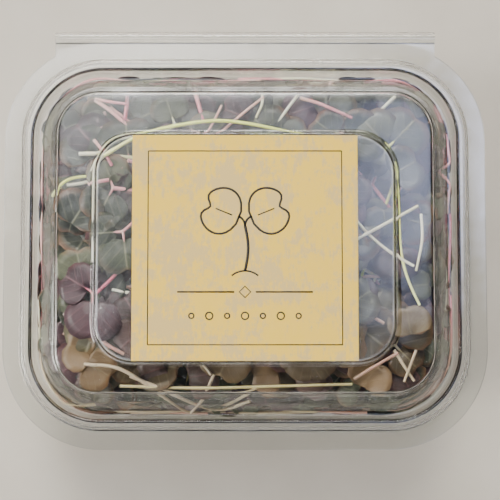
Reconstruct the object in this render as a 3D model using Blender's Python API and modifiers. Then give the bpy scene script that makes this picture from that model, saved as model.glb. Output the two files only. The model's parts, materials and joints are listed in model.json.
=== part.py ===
"""Radish microgreens in a clear hinged deli tray, with a square paper label on the lid.

Metres, +Z up, +Y towards the hinge, +X to the right of someone who faces the front edge. The
origin is on the table, under the centre of the whole outline with its hinge.

The tray and the lid are formed from one thin sheet. Each is lofted here through level rings, all
of them the flange's rounded outline moved in by an inset, and then given its wall. The greens are
cut seedlings: a thin bowed stem and a pair of notched seed leaves. They lie in level beds, a
handful to a bed. The stems of a bed cross and are fused, and each pair of leaves is its own piece.
"""
import math
import random

import bmesh
import bpy
from mathutils import Matrix, Vector
from mathutils.geometry import intersect_line_line_2d

MM = 0.001

# Driving dimensions of the container
FLANGE_WIDTH = 141.4 * MM
FLANGE_DEPTH = 119.5 * MM
FLANGE_CORNER = 29 * MM
TRAY_HEIGHT = 31 * MM
LID_RISE = 11.6 * MM
WALL = 0.6 * MM
NEST_GAP = 0.3 * MM
CORNER_SEGMENTS = 6

# The raised panel on the lid's deck, and the label on the panel
PANEL_WIDTH = 85 * MM
PANEL_DEPTH = 64.5 * MM
PANEL_CORNER = 11 * MM
PANEL_RISE = 2.5 * MM
PANEL_FORWARD = 2.0 * MM
PANEL_SLOPE = 0.7 * MM
PANEL_EDGE = 0.5 * MM
LABEL_SIDE = 63.5 * MM
LABEL_THICKNESS = 0.3 * MM

# The hinge: leaves that run back from both flanges, part at a step and end at a rolled fold
LEAF_RUN = 1.7 * MM
LEAF_STEP_START = 0.2 * MM
LEAF_STEP_END = 0.9 * MM
LEAF_STEP = 0.9 * MM
LEAF_SEGMENT = 2
FOLD_STEPS = 8

# The stems. A bow is the turn of a stem in radians per metre
SEED = 41
STEM_RADIUS = 0.65 * MM
STEM_POINTS = 9
STEM_LENGTHS = (38 * MM, 60 * MM)
STEM_BOW = 26
STEM_STAGGER = 0.13 * MM

# The seed leaves. Their outline is a radius over the angle, and these shares shape it
LEAF_LENGTH = 10.5 * MM
LEAF_LENGTH_SHARES = (0.9, 1.08)
SMALL_LEAF_SHARE = 0.85
LEAF_THICKNESS = 0.65 * MM
LEAF_ANGLES = (50, 72)
LEAF_OUTLINE_POINTS = 11
LEAF_SLIMNESS = 0.88
LEAF_ROUNDNESS = 0.38
LEAF_NOTCH = 0.20
LEAF_NOTCH_WIDTH = 0.26
LEAF_MIDDLE = 0.52
LEAF_CUPS = (0.3 * MM, 1.0 * MM)
LEAF_ROLL = 0.9 * MM
STALK_LENGTH = 1.6 * MM
STALK_OVERLAP = 0.7 * MM
STALK_SHARE = 0.85
CROWN_GAP = 0.5 * MM

# The beds that the seedlings lie in
BEDS = 9
BED_TURN = 0.38
BED_FLOOR = 2.0 * MM
BED_CEILING_GAP = 0.4 * MM
STEMS_IN_A_BED = 5
PLACE_TRIES = 500
PLACE_JITTER = 0.4
HEADING_JITTER = 0.7
CROWN_SHARES = (0.62, 1.05)
LEAF_SPREAD = 0.74
LEAF_LIFT = 0.4 * MM
LEAST_BETWEEN_BLADES = 9.5 * MM
LEAST_BESIDE_STEMS = 2 * MM
CLEARANCE = 1.0 * MM

# Derived places
SHEET_STEP = WALL + NEST_GAP
FOLD_RADIUS = SHEET_STEP / 2 + LEAF_STEP
HINGE_REACH = LEAF_RUN + FOLD_RADIUS + WALL / 2
CENTRE_Y = -HINGE_REACH / 2
AXIS_Y = CENTRE_Y + FLANGE_DEPTH / 2 + LEAF_RUN
LID_FLANGE = TRAY_HEIGHT + SHEET_STEP
AXIS_Z = TRAY_HEIGHT + NEST_GAP / 2
DECK = LID_FLANGE + LID_RISE
PANEL_TOP = DECK + PANEL_RISE

# Upper surfaces of the two sheets, from the flange's edge inwards, as (inset, rise) in mm. The rise
# is over the flange for the rims, over the table for the foot and over the deck for the shoulder
TRAY_RIM = ((0, 0), (5.6, 0), (6.2, 2.2), (6.7, 2.8), (7.8, 2.8), (8.3, 2.2), (8.7, -0.8))
TRAY_FOOT = ((14.7, 3.6), (15.3, 1.7), (16.7, 0.6), (21.5, 0.6), (22.7, 1.6))
LID_RIM = (
    (0, 0), (4.8, 0), (5.5, 2.2), (6.3, 2.9), (8.2, 2.9), (9.0, 2.2), (9.7, 0.1),
    (10.2, -0.6), (11.0, -0.6), (11.6, 0.1),
)
LID_SHOULDER = ((16.3, -1.4), (16.9, -0.4), (17.9, 0))

COLOURS = {
    "clear_plastic": ((0.88, 0.90, 0.88), 0.08),
    "kraft_paper": ((0.80, 0.63, 0.37), 0.85),
    "pink_stem": ((0.72, 0.40, 0.43), 0.45),
    "cream_stem": ((0.80, 0.80, 0.58), 0.45),
    "lime_stem": ((0.68, 0.74, 0.32), 0.45),
    "green_leaf": ((0.16, 0.24, 0.10), 0.5),
    "purple_leaf": ((0.16, 0.09, 0.11), 0.5),
}


def clear_scene():
    for old in list(bpy.data.objects):
        bpy.data.objects.remove(old, do_unlink=True)


def make_materials():
    made = {}
    for name, (colour, roughness) in COLOURS.items():
        material = bpy.data.materials.new(name)
        material.use_nodes = True
        shader = material.node_tree.nodes["Principled BSDF"]
        shader.inputs["Base Color"].default_value = (*colour, 1)
        shader.inputs["Roughness"].default_value = roughness
        shader.inputs["Metallic"].default_value = 0
        made[name] = material
    made["clear_plastic"].node_tree.nodes["Principled BSDF"].inputs["Alpha"].default_value = 0.3
    return made


def add_object(name, mesh, material, collection):
    made = bpy.data.objects.new(name, mesh)
    made.data.materials.clear()
    made.data.materials.append(material)
    collection.objects.link(made)
    return made


def mesh_from(bm, name, smooth_angle=35):
    mesh = bpy.data.meshes.new(name)
    bm.to_mesh(mesh)
    bm.free()
    mesh.shade_smooth()
    mesh.set_sharp_from_angle(angle=math.radians(smooth_angle))
    return mesh


def baked(made):
    """The object's mesh as its modifiers leave it. The modifiers are then taken off."""
    graph = bpy.context.evaluated_depsgraph_get()
    mesh = bpy.data.meshes.new_from_object(made.evaluated_get(graph))
    made.modifiers.clear()
    made.data = mesh
    return made


# Container

def ring_points(half_x, half_y, corner, centre_y, height):
    """One level ring: a rounded rectangle, counter-clockwise from its right side's back end."""
    points = []
    for quarter in range(4):
        side_x = 1 if quarter in (0, 3) else -1
        side_y = 1 if quarter in (0, 1) else -1
        hub = Vector((side_x * (half_x - corner), centre_y + side_y * (half_y - corner), height))
        for step in range(CORNER_SEGMENTS + 1):
            angle = math.pi / 2 * (quarter + step / CORNER_SEGMENTS)
            points.append(hub + corner * Vector((math.cos(angle), math.sin(angle), 0)))
    return points


def section_places(section, level):
    """A section's places in metres, with heights over the table."""
    return [(inset * MM, level + rise * MM) for inset, rise in section]


def flange_ring(inset, height):
    return ring_points(
        FLANGE_WIDTH / 2 - inset,
        FLANGE_DEPTH / 2 - inset,
        FLANGE_CORNER - inset,
        CENTRE_Y,
        height,
    )


def panel_ring(inset, height):
    return ring_points(
        PANEL_WIDTH / 2 - inset,
        PANEL_DEPTH / 2 - inset,
        PANEL_CORNER - inset,
        CENTRE_Y - PANEL_FORWARD,
        height,
    )


def draw_leaf(bm, edges, lift):
    """Draws the flange's back edges out to the hinge, with the step that makes room for the fold."""
    back_edge = CENTRE_Y + FLANGE_DEPTH / 2
    level = edges[0].verts[0].co.z
    rows = (
        (LEAF_STEP_START, 0),
        (LEAF_STEP_END, lift),
        (LEAF_RUN - NEST_GAP, lift),
    )
    for run, rise in rows:
        drawn = bmesh.ops.extrude_edge_only(bm, edges=edges)["geom"]
        for part in drawn:
            if isinstance(part, bmesh.types.BMVert):
                part.co.y = back_edge + run
                part.co.z = level + rise
        edges = [part for part in drawn if isinstance(part, bmesh.types.BMEdge)]


def lofted_sheet(name, rings, leaf_lift, material, collection):
    """An open sheet through the rings, closed by a flat floor or top, and given its wall.

    The first ring is the flange's edge. Its back stretch is drawn out to the hinge as a leaf.
    """
    bm = bmesh.new()
    loops = [[bm.verts.new(point) for point in ring] for ring in rings]
    count = len(loops[0])
    for outer, inner in zip(loops, loops[1:]):
        for i in range(count):
            bm.faces.new((outer[i], outer[(i + 1) % count], inner[(i + 1) % count], inner[i]))
    bm.faces.new(loops[-1])
    first = CORNER_SEGMENTS - LEAF_SEGMENT
    last = CORNER_SEGMENTS + 1 + LEAF_SEGMENT
    back = [bm.edges.get((loops[0][i], loops[0][i + 1])) for i in range(first, last)]
    draw_leaf(bm, back, leaf_lift)
    bmesh.ops.recalc_face_normals(bm, faces=bm.faces)
    bm.faces.ensure_lookup_table()
    if bm.faces[0].normal.z < 0:
        bmesh.ops.reverse_faces(bm, faces=bm.faces)
    sheet = add_object(name, mesh_from(bm, name), material, collection)
    wall = sheet.modifiers.new("wall", "SOLIDIFY")
    wall.thickness = WALL
    wall.offset = -1
    wall.use_even_offset = True
    return sheet


def make_tray(materials, collection):
    places = section_places(TRAY_RIM, TRAY_HEIGHT) + section_places(TRAY_FOOT, 0)
    rings = [flange_ring(inset, height) for inset, height in places]
    return lofted_sheet("tray", rings, -LEAF_STEP, materials["clear_plastic"], collection)


def make_lid(materials, collection, hinge):
    places = section_places(LID_RIM, LID_FLANGE) + section_places(LID_SHOULDER, DECK)
    rings = [flange_ring(inset, height) for inset, height in places]
    rings.append(panel_ring(-PANEL_SLOPE, DECK))
    rings.append(panel_ring(0, PANEL_TOP - PANEL_EDGE))
    rings.append(panel_ring(PANEL_EDGE, PANEL_TOP))
    lid = lofted_sheet("lid", rings, LEAF_STEP, materials["clear_plastic"], collection)
    hang_on(lid, hinge)
    return lid


def make_hinge_axis(collection):
    axis = bpy.data.objects.new("hinge_axis", None)
    axis.empty_display_size = 0.01
    axis.location = (0, AXIS_Y, AXIS_Z)
    collection.objects.link(axis)
    bpy.context.view_layer.update()
    return axis


def hang_on(made, hinge):
    made.parent = hinge
    made.matrix_parent_inverse = hinge.matrix_world.inverted()


def leaf_half_width():
    turn = math.pi / 2 * LEAF_SEGMENT / CORNER_SEGMENTS
    return FLANGE_WIDTH / 2 - FLANGE_CORNER + FLANGE_CORNER * math.sin(turn)


def make_fold(materials, collection):
    """A half-round roll behind the leaves, open to the front. The hinge axis runs through it."""
    half = leaf_half_width()
    bm = bmesh.new()
    ends = [bm.verts.new((x, 0, -FOLD_RADIUS)) for x in (-half, half)]
    line = bm.edges.new(ends)
    bmesh.ops.spin(
        bm,
        geom=[*ends, line],
        cent=(0, 0, 0),
        axis=(1, 0, 0),
        angle=math.pi,
        steps=FOLD_STEPS,
        use_merge=False,
    )
    bmesh.ops.recalc_face_normals(bm, faces=bm.faces)
    fold = add_object("hinge_fold", mesh_from(bm, "hinge_fold"), materials["clear_plastic"], collection)
    fold.location = (0, AXIS_Y, AXIS_Z)
    wall = fold.modifiers.new("wall", "SOLIDIFY")
    wall.thickness = WALL
    wall.offset = 0
    return fold


def make_label(materials, collection, hinge):
    bm = bmesh.new()
    size = Matrix.Diagonal((LABEL_SIDE, LABEL_SIDE, LABEL_THICKNESS, 1))
    bmesh.ops.create_cube(bm, size=1, matrix=size)
    label = add_object("label", mesh_from(bm, "label"), materials["kraft_paper"], collection)
    middle = PANEL_TOP + NEST_GAP + LABEL_THICKNESS / 2
    label.location = (0, CENTRE_Y - PANEL_FORWARD, middle)
    bpy.context.view_layer.update()
    hang_on(label, hinge)
    return label


# Seedlings

def stem_points(crown_end, heading, bow, length):
    """A bowed stem, from its cut end to the end under its leaves, which heads that way."""
    step = length / (STEM_POINTS - 1)
    turned = heading + math.pi
    points = [crown_end]
    for i in range(1, STEM_POINTS):
        run = Vector((math.cos(turned), math.sin(turned), 0)) * step
        dip = LEAF_LIFT if i == 1 else 0
        points.append(points[-1] + run - Vector((0, 0, dip)))
        turned += bow * step
    return points[::-1]


def tube(name, points, radius, collection):
    """A thin round stem through the points, as a closed mesh."""
    curve = bpy.data.curves.new(name, "CURVE")
    curve.dimensions = "3D"
    curve.bevel_depth = radius
    curve.bevel_resolution = 0
    curve.use_fill_caps = True
    spline = curve.splines.new("POLY")
    spline.points.add(len(points) - 1)
    for target, point in zip(spline.points, points):
        target.co = (*point, 1)
    made = bpy.data.objects.new(name, curve)
    collection.objects.link(made)
    graph = bpy.context.evaluated_depsgraph_get()
    mesh = bpy.data.meshes.new_from_object(made.evaluated_get(graph))
    bpy.data.objects.remove(made)
    bm = bmesh.new()
    bm.from_mesh(mesh)
    bmesh.ops.remove_doubles(bm, verts=bm.verts, dist=0.01 * MM)
    bmesh.ops.recalc_face_normals(bm, faces=bm.faces)
    bm.to_mesh(mesh)
    bm.free()
    piece = bpy.data.objects.new(name, mesh)
    collection.objects.link(piece)
    return piece


def blade_reach(angle):
    """How far a notched seed leaf reaches from its base, as a share of its length."""
    open_share = max(0, math.cos(LEAF_SLIMNESS * angle)) ** LEAF_ROUNDNESS
    notch = LEAF_NOTCH * math.exp(-(angle / LEAF_NOTCH_WIDTH) ** 2)
    return open_share * (1 - notch)


def blade(name, base, heading, length, cup, roll, collection):
    """A notched, cupped seed leaf. It's a fan of triangles given a wall."""
    bm = bmesh.new()
    side = Vector((-heading.y, heading.x, 0))
    widest = math.pi / 2 / LEAF_SLIMNESS * 0.985
    middle = bm.verts.new(base + heading * length * LEAF_MIDDLE - Vector((0, 0, cup)))
    rim = []
    for i in range(LEAF_OUTLINE_POINTS):
        angle = widest * (2 * i / (LEAF_OUTLINE_POINTS - 1) - 1)
        reach = length * blade_reach(angle)
        along = reach * math.cos(angle)
        across = reach * math.sin(angle)
        wave = cup * (along / length - LEAF_MIDDLE) + roll * across / length
        rim.append(bm.verts.new(base + heading * along + side * across + Vector((0, 0, wave))))
    for i in range(LEAF_OUTLINE_POINTS):
        bm.faces.new((middle, rim[i], rim[(i + 1) % LEAF_OUTLINE_POINTS]))
    mesh = bpy.data.meshes.new(name)
    bm.to_mesh(mesh)
    bm.free()
    piece = bpy.data.objects.new(name, mesh)
    collection.objects.link(piece)
    wall = piece.modifiers.new("wall", "SOLIDIFY")
    wall.thickness = LEAF_THICKNESS
    wall.offset = 0
    return baked(piece)


def fused(name, pieces, material, collection):
    """One object from pieces that cross, by one union. The pieces are removed."""
    first = pieces[0]
    if len(pieces) > 1:
        others = bpy.data.collections.new(name + "_pieces")
        bpy.context.scene.collection.children.link(others)
        for piece in pieces[1:]:
            others.objects.link(piece)
        union = first.modifiers.new("union", "BOOLEAN")
        union.operation = "UNION"
        union.operand_type = "COLLECTION"
        union.collection = others
        union.solver = "EXACT"
        baked(first)
        for piece in pieces[1:]:
            bpy.data.objects.remove(piece)
        bpy.data.collections.remove(others)
    made = add_object(name, first.data, material, collection)
    bpy.data.objects.remove(first)
    made.data.shade_smooth()
    made.data.set_sharp_from_angle(angle=math.radians(40))
    return made


def inset_at(height, start, end):
    """Inset of the straight wall from the place start on towards the place end, at that height."""
    share = max(0, (height - start[1]) / (end[1] - start[1]))
    return start[0] + share * (end[0] - start[0])


def wall_inset(low, high):
    """How far inside the flange's edge a bed between two heights has to stay."""
    mouth = section_places(TRAY_RIM, TRAY_HEIGHT)[-1]
    foot = section_places(TRAY_FOOT, 0)[0]
    tray_wall = inset_at(low, mouth, foot)
    if high < mouth[1]:
        return tray_wall + CLEARANCE
    channel = section_places(LID_RIM, LID_FLANGE)[-1]
    shoulder = section_places(LID_SHOULDER, DECK)[0]
    dome_wall = inset_at(high, channel, shoulder) + WALL
    return max(tray_wall, dome_wall) + CLEARANCE


def room_left(point, inset):
    """How far a point is inside the rounded outline at that inset. It's negative outside."""
    corner = FLANGE_CORNER - inset
    across = abs(point.x) - (FLANGE_WIDTH / 2 - inset - corner)
    along = abs(point.y - CENTRE_Y) - (FLANGE_DEPTH / 2 - inset - corner)
    outside = math.hypot(max(0, across), max(0, along))
    return corner - outside - min(0, max(across, along))


def far_apart(first, second, least):
    return all((a - b).xy.length > least for a in first for b in second)


def cross(first, second):
    """True if two stems, seen from above, cross."""
    for a, b in zip(first, first[1:]):
        for c, d in zip(second, second[1:]):
            if intersect_line_line_2d(a.xy, b.xy, c.xy, d.xy) is not None:
                return True
    return False


def leaf_places(chance, crown, out):
    """Base, heading and length of the two seed leaves that stand off a crown to both sides."""
    blades = []
    for side, share in ((1, 1.0), (-1, SMALL_LEAF_SHARE)):
        turn = out + side * math.radians(chance.uniform(*LEAF_ANGLES))
        way = Vector((math.cos(turn), math.sin(turn), 0))
        length = LEAF_LENGTH * share * chance.uniform(*LEAF_LENGTH_SHARES)
        blades.append((crown + way * STALK_LENGTH, way, length))
    return blades


def plan_bed(chance, bed, level, inset):
    """Stems and leaf pairs of one bed, as plain places that keep clear of each other.

    The crowns stand round the wall and the stems run back across the middle. Each stem after the
    first crosses one that is already there, so that the bed's stems can be fused.
    """
    stems = []
    pairs = []
    spread = LEAF_LENGTH * LEAF_SPREAD
    reach_x = FLANGE_WIDTH / 2 - inset - spread
    reach_y = FLANGE_DEPTH / 2 - inset - spread
    for number in range(STEMS_IN_A_BED):
        height = level + LEAF_LIFT + (number - STEMS_IN_A_BED // 2) * STEM_STAGGER
        place = 2 * math.pi * (number / STEMS_IN_A_BED + bed * BED_TURN)
        for _ in range(PLACE_TRIES):
            around = place + chance.uniform(-PLACE_JITTER, PLACE_JITTER)
            share = chance.uniform(*CROWN_SHARES)
            spot = Vector((math.cos(around) * reach_x * share, math.sin(around) * reach_y * share, 0))
            crown = Vector((0, CENTRE_Y, height)) + spot
            out = math.atan2(spot.y, spot.x) + chance.uniform(-HEADING_JITTER, HEADING_JITTER)
            back = Vector((math.cos(out), math.sin(out), 0)) * (STEM_RADIUS + CROWN_GAP)
            bow = chance.uniform(-STEM_BOW, STEM_BOW)
            points = stem_points(crown - back, out, bow, chance.uniform(*STEM_LENGTHS))
            blades = leaf_places(chance, crown, out)
            middles = [base + way * length * LEAF_MIDDLE for base, way, length in blades]
            taken = [middle for pair in pairs for middle in pair["middles"]]
            earlier = [point for stem in stems for point in stem]
            clear = (
                all(room_left(point, inset) > STEM_RADIUS for point in points)
                and all(room_left(middle, inset) > spread for middle in middles)
                and far_apart(middles[:1], middles[1:], LEAST_BETWEEN_BLADES)
                and far_apart(middles, taken, 2 * spread)
                and far_apart(middles, earlier, spread + LEAST_BESIDE_STEMS)
                and far_apart(points, taken, spread + LEAST_BESIDE_STEMS)
                and (not stems or any(cross(points, stem) for stem in stems))
            )
            if clear:
                stems.append(points)
                pairs.append({"crown": crown, "blades": blades, "middles": middles})
                break
    return stems, pairs


def make_leaf_pair(name, pair, chance, material, collection):
    """Two seed leaves of unlike size on a short forked stalk."""
    first, second = [base + way * STALK_OVERLAP for base, way, _ in pair["blades"]]
    fork = [first, pair["crown"], second]
    pieces = [tube(name + "_fork", fork, STEM_RADIUS * STALK_SHARE, collection)]
    for number, (base, way, length) in enumerate(pair["blades"]):
        cup = chance.uniform(*LEAF_CUPS) * chance.choice((-1, 1))
        roll = chance.uniform(-LEAF_ROLL, LEAF_ROLL)
        pieces.append(blade(f"{name}_blade_{number}", base, way, length, cup, roll, collection))
    return fused(name, pieces, material, collection)


def make_greens(materials, collection):
    chance = random.Random(SEED)
    step = (DECK - WALL - BED_CEILING_GAP - BED_FLOOR) / BEDS
    stem_colours = ("pink_stem", "cream_stem", "pink_stem", "lime_stem")
    leaf_colours = ("green_leaf", "purple_leaf", "green_leaf")
    pair_number = 0
    for bed in range(BEDS):
        low = BED_FLOOR + bed * step
        level = low + step / 2
        stems, pairs = plan_bed(chance, bed, level, wall_inset(low, low + step))
        name = f"stems_{bed + 1:02d}"
        tubes = [
            tube(f"{name}_{number}", points, STEM_RADIUS, collection)
            for number, points in enumerate(stems)
        ]
        colour = stem_colours[bed % len(stem_colours)]
        fused(name, tubes, materials[colour], collection)
        for pair in pairs:
            pair_number += 1
            colour = leaf_colours[pair_number % len(leaf_colours)]
            make_leaf_pair(f"leaf_pair_{pair_number:02d}", pair, chance, materials[colour], collection)


def main():
    clear_scene()
    collection = bpy.data.collections.new("radish_microgreens_tray")
    bpy.context.scene.collection.children.link(collection)
    materials = make_materials()
    hinge = make_hinge_axis(collection)
    make_tray(materials, collection)
    make_lid(materials, collection, hinge)
    make_fold(materials, collection)
    make_label(materials, collection, hinge)
    make_greens(materials, collection)


main()
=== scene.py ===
# %% [markdown]
# # A clear tray of radish microgreens
#
# The real thing is a small hinged deli container, pressed from one sheet of clear plastic. It's packed
# with cut radish seedlings, and a square kraft paper label sits on its lid. This script dresses the
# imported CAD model. The CAD model gives every place and size, and nothing of it is moved here.
#
# The work goes from the outside in: the view and the light, the plastic, the label, the seedlings, and
# at last the water and the seed coats that make the box look alive.

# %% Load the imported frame
import json
import math
import random
from collections import namedtuple

import bmesh
import bpy
import numpy as np
from mathutils import Euler, Matrix, Vector
from mathutils.geometry import intersect_line_line_2d

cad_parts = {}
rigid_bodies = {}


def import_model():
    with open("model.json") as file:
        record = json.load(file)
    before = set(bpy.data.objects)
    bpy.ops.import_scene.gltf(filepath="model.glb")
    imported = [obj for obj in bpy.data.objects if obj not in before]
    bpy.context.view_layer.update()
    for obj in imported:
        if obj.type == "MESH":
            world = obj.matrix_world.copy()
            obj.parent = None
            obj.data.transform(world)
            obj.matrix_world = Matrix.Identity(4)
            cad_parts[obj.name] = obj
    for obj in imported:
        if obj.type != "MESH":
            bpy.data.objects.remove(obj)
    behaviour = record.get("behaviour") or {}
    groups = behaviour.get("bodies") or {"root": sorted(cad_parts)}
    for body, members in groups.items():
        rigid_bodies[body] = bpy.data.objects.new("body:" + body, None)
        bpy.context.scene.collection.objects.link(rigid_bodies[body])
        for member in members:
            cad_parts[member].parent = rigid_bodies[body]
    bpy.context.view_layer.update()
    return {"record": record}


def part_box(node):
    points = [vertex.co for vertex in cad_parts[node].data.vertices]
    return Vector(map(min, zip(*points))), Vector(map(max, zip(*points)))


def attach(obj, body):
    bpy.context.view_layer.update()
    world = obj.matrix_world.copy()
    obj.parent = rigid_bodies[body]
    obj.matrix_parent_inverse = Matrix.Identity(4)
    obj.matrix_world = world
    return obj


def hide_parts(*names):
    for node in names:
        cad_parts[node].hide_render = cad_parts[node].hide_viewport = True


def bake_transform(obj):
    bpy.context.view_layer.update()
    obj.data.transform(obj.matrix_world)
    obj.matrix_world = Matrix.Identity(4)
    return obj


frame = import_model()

MM = 0.001
UP = Vector((0, 0, 1))

# %% [markdown]
# ## Sizes that come from the frame
#
# A box round each CAD node says where the real parts lie. The flange of the tray and the lid is a
# rounded rectangle. Its middle isn't the middle of the object, because the hinge adds a strip at the
# back. So the front edge of the lid and the known depth of the flange give the flange's middle.

# %% Measure the frame
TRAY_LOW, TRAY_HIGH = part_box("tray")
FOLD_LOW, FOLD_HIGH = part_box("hinge_fold")
LABEL_LOW, LABEL_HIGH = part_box("label")
AXIS_Y, AXIS_Z = frame["record"]["behaviour"]["joints"][0]["pos_m"][1:]

FLANGE_WIDTH = TRAY_HIGH.x - TRAY_LOW.x
FLANGE_DEPTH = 119.5 * MM
FLANGE_CORNER = 29 * MM
CENTRE_Y = TRAY_LOW.y + FLANGE_DEPTH / 2
WALL = 0.6 * MM
NEST_GAP = 0.3 * MM
TRAY_FLANGE = AXIS_Z - NEST_GAP / 2
LID_FLANGE = TRAY_FLANGE + WALL + NEST_GAP
PANEL_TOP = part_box("lid")[1].z
PANEL_Y = (LABEL_LOW.y + LABEL_HIGH.y) / 2
PANEL_RISE = 2.5 * MM
DECK = PANEL_TOP - PANEL_RISE
print("flange", round(FLANGE_WIDTH / MM), "x", round(FLANGE_DEPTH / MM), "mm, deck at", round(DECK / MM, 1))

# %% [markdown]
# ## The camera
#
# The photo looks almost straight down on the lid, from about a third of a metre away. The flange lies
# lower than the label, so it looks smaller than it is, and that gives the distance. The front and back
# borders round the deck are almost equally wide, and that gives the tilt. The label's middle isn't the
# middle of the picture, so the lens is shifted by a few pixels.

# %% Place the camera
PICTURE = 500
LABEL_MIDDLE_PIXEL = (245.0, 247.3)
ELEVATION = math.radians(86)
DISTANCE = 330 * MM
LENS = 84.7
SENSOR = 36.0
FOCAL_PIXELS = LENS / SENSOR * PICTURE
TOWARDS_CAMERA = Vector((0, -math.cos(ELEVATION), math.sin(ELEVATION)))
PICTURE_UP = Vector((0, math.sin(ELEVATION), math.cos(ELEVATION)))
EYE = Vector((0, PANEL_Y, LABEL_HIGH.z)) + TOWARDS_CAMERA * DISTANCE


def place_camera():
    data = bpy.data.cameras.new("photo_view")
    data.lens, data.sensor_width, data.clip_start = LENS, SENSOR, 0.01
    data.shift_x = (PICTURE / 2 - LABEL_MIDDLE_PIXEL[0]) / PICTURE
    data.shift_y = (LABEL_MIDDLE_PIXEL[1] - PICTURE / 2) / PICTURE
    camera = bpy.data.objects.new("photo_view", data)
    camera.location = EYE
    camera.rotation_euler = (-TOWARDS_CAMERA).to_track_quat("-Z", "Y").to_euler()
    bpy.context.scene.collection.objects.link(camera)
    bpy.context.scene.camera = camera
    print("camera at", [round(v, 3) for v in camera.location])


place_camera()

# %% [markdown]
# A seedling that shows in the photo is placed by its pixel. The line of sight through that pixel is
# followed down to the level where the seedling lies.

# %% From a pixel of the photo to a place


def at_pixel(pixel, height):
    across = (pixel[0] - LABEL_MIDDLE_PIXEL[0]) / FOCAL_PIXELS
    up = (LABEL_MIDDLE_PIXEL[1] - pixel[1]) / FOCAL_PIXELS
    ray = Vector((1, 0, 0)) * across + PICTURE_UP * up - TOWARDS_CAMERA
    return EYE + ray * ((height - EYE.z) / ray.z)


print("the deck's left edge in the photo is at x =", round(at_pixel((58, 247), DECK).x / MM, 1), "mm")

# %% [markdown]
# ## Helpers for meshes
#
# Every finished piece is a plain mesh whose object sits at the origin, as the CAD nodes do. These helpers
# add one, turn its modifiers into its mesh, give a sheet its wall and join rows of points by quads.

# %% Add, bake and thicken meshes


def add_piece(name, mesh, material=None):
    made = bpy.data.objects.new(name, mesh)
    bpy.context.scene.collection.objects.link(made)
    if material is not None:
        made.data.materials.clear()
        made.data.materials.append(material)
    return made


def bake(made):
    bpy.context.view_layer.update()
    graph = bpy.context.evaluated_depsgraph_get()
    mesh = bpy.data.meshes.new_from_object(made.evaluated_get(graph), depsgraph=graph)
    made.modifiers.clear()
    made.data = mesh
    return made


def thicken(made, thickness, offset, even=False):
    wall = made.modifiers.new("wall", "SOLIDIFY")
    wall.thickness, wall.offset, wall.use_even_offset = thickness, offset, even
    return bake(made)


def to_mesh(bm, name, smooth_angle=40):
    mesh = bpy.data.meshes.new(name)
    bm.to_mesh(mesh)
    bm.free()
    mesh.shade_smooth()
    mesh.set_sharp_from_angle(angle=math.radians(smooth_angle))
    return mesh


def add_quads(bm, rows):
    return [
        bm.faces.new((first[k], second[k], second[k + 1], first[k + 1]))
        for first, second in zip(rows, rows[1:]) for k in range(len(first) - 1)
    ]


def tell(made):
    triangles = sum(len(face.vertices) - 2 for face in made.data.polygons)
    print(f"{made.name}: {triangles} triangles, {[round(v / MM, 1) for v in made.dimensions]} mm")
    return made

# %% [markdown]
# ## Helpers for nodes
#
# Materials, lights and Geometry Nodes are all trees of nodes. One helper serves them all: it adds a node,
# sets its inputs by name and gives back one output. An input is a plain value or another node's output.

# %% Build trees from nodes


class Graph:
    """Adds nodes to a tree and links them."""

    def __init__(self, tree):
        self.tree = tree

    def put(self, node, inputs):
        for key, value in inputs.items():
            if isinstance(value, bpy.types.NodeSocket):
                self.tree.links.new(value, node.inputs[key])
            else:
                node.inputs[key].default_value = value

    def node(self, kind, inputs=None, output=0, **settings):
        made = self.tree.nodes.new(kind)
        for key, value in settings.items():
            setattr(made, key, value)
        self.put(made, inputs or {})
        return made.outputs[output]

    def span(self, value, low, high, to_low=0.0, to_high=1.0, **settings):
        limits = {"From Min": low, "From Max": high, "To Min": to_low, "To Max": to_high}
        return self.node("ShaderNodeMapRange", {"Value": value, **limits}, "Result", **settings)


print("trees are ready to build")

# %% [markdown]
# A material adds a few words of its own to that. Its noise reads the piece's own coordinates, so that it
# stays on the piece in every view.

# %% Build materials from nodes


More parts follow.
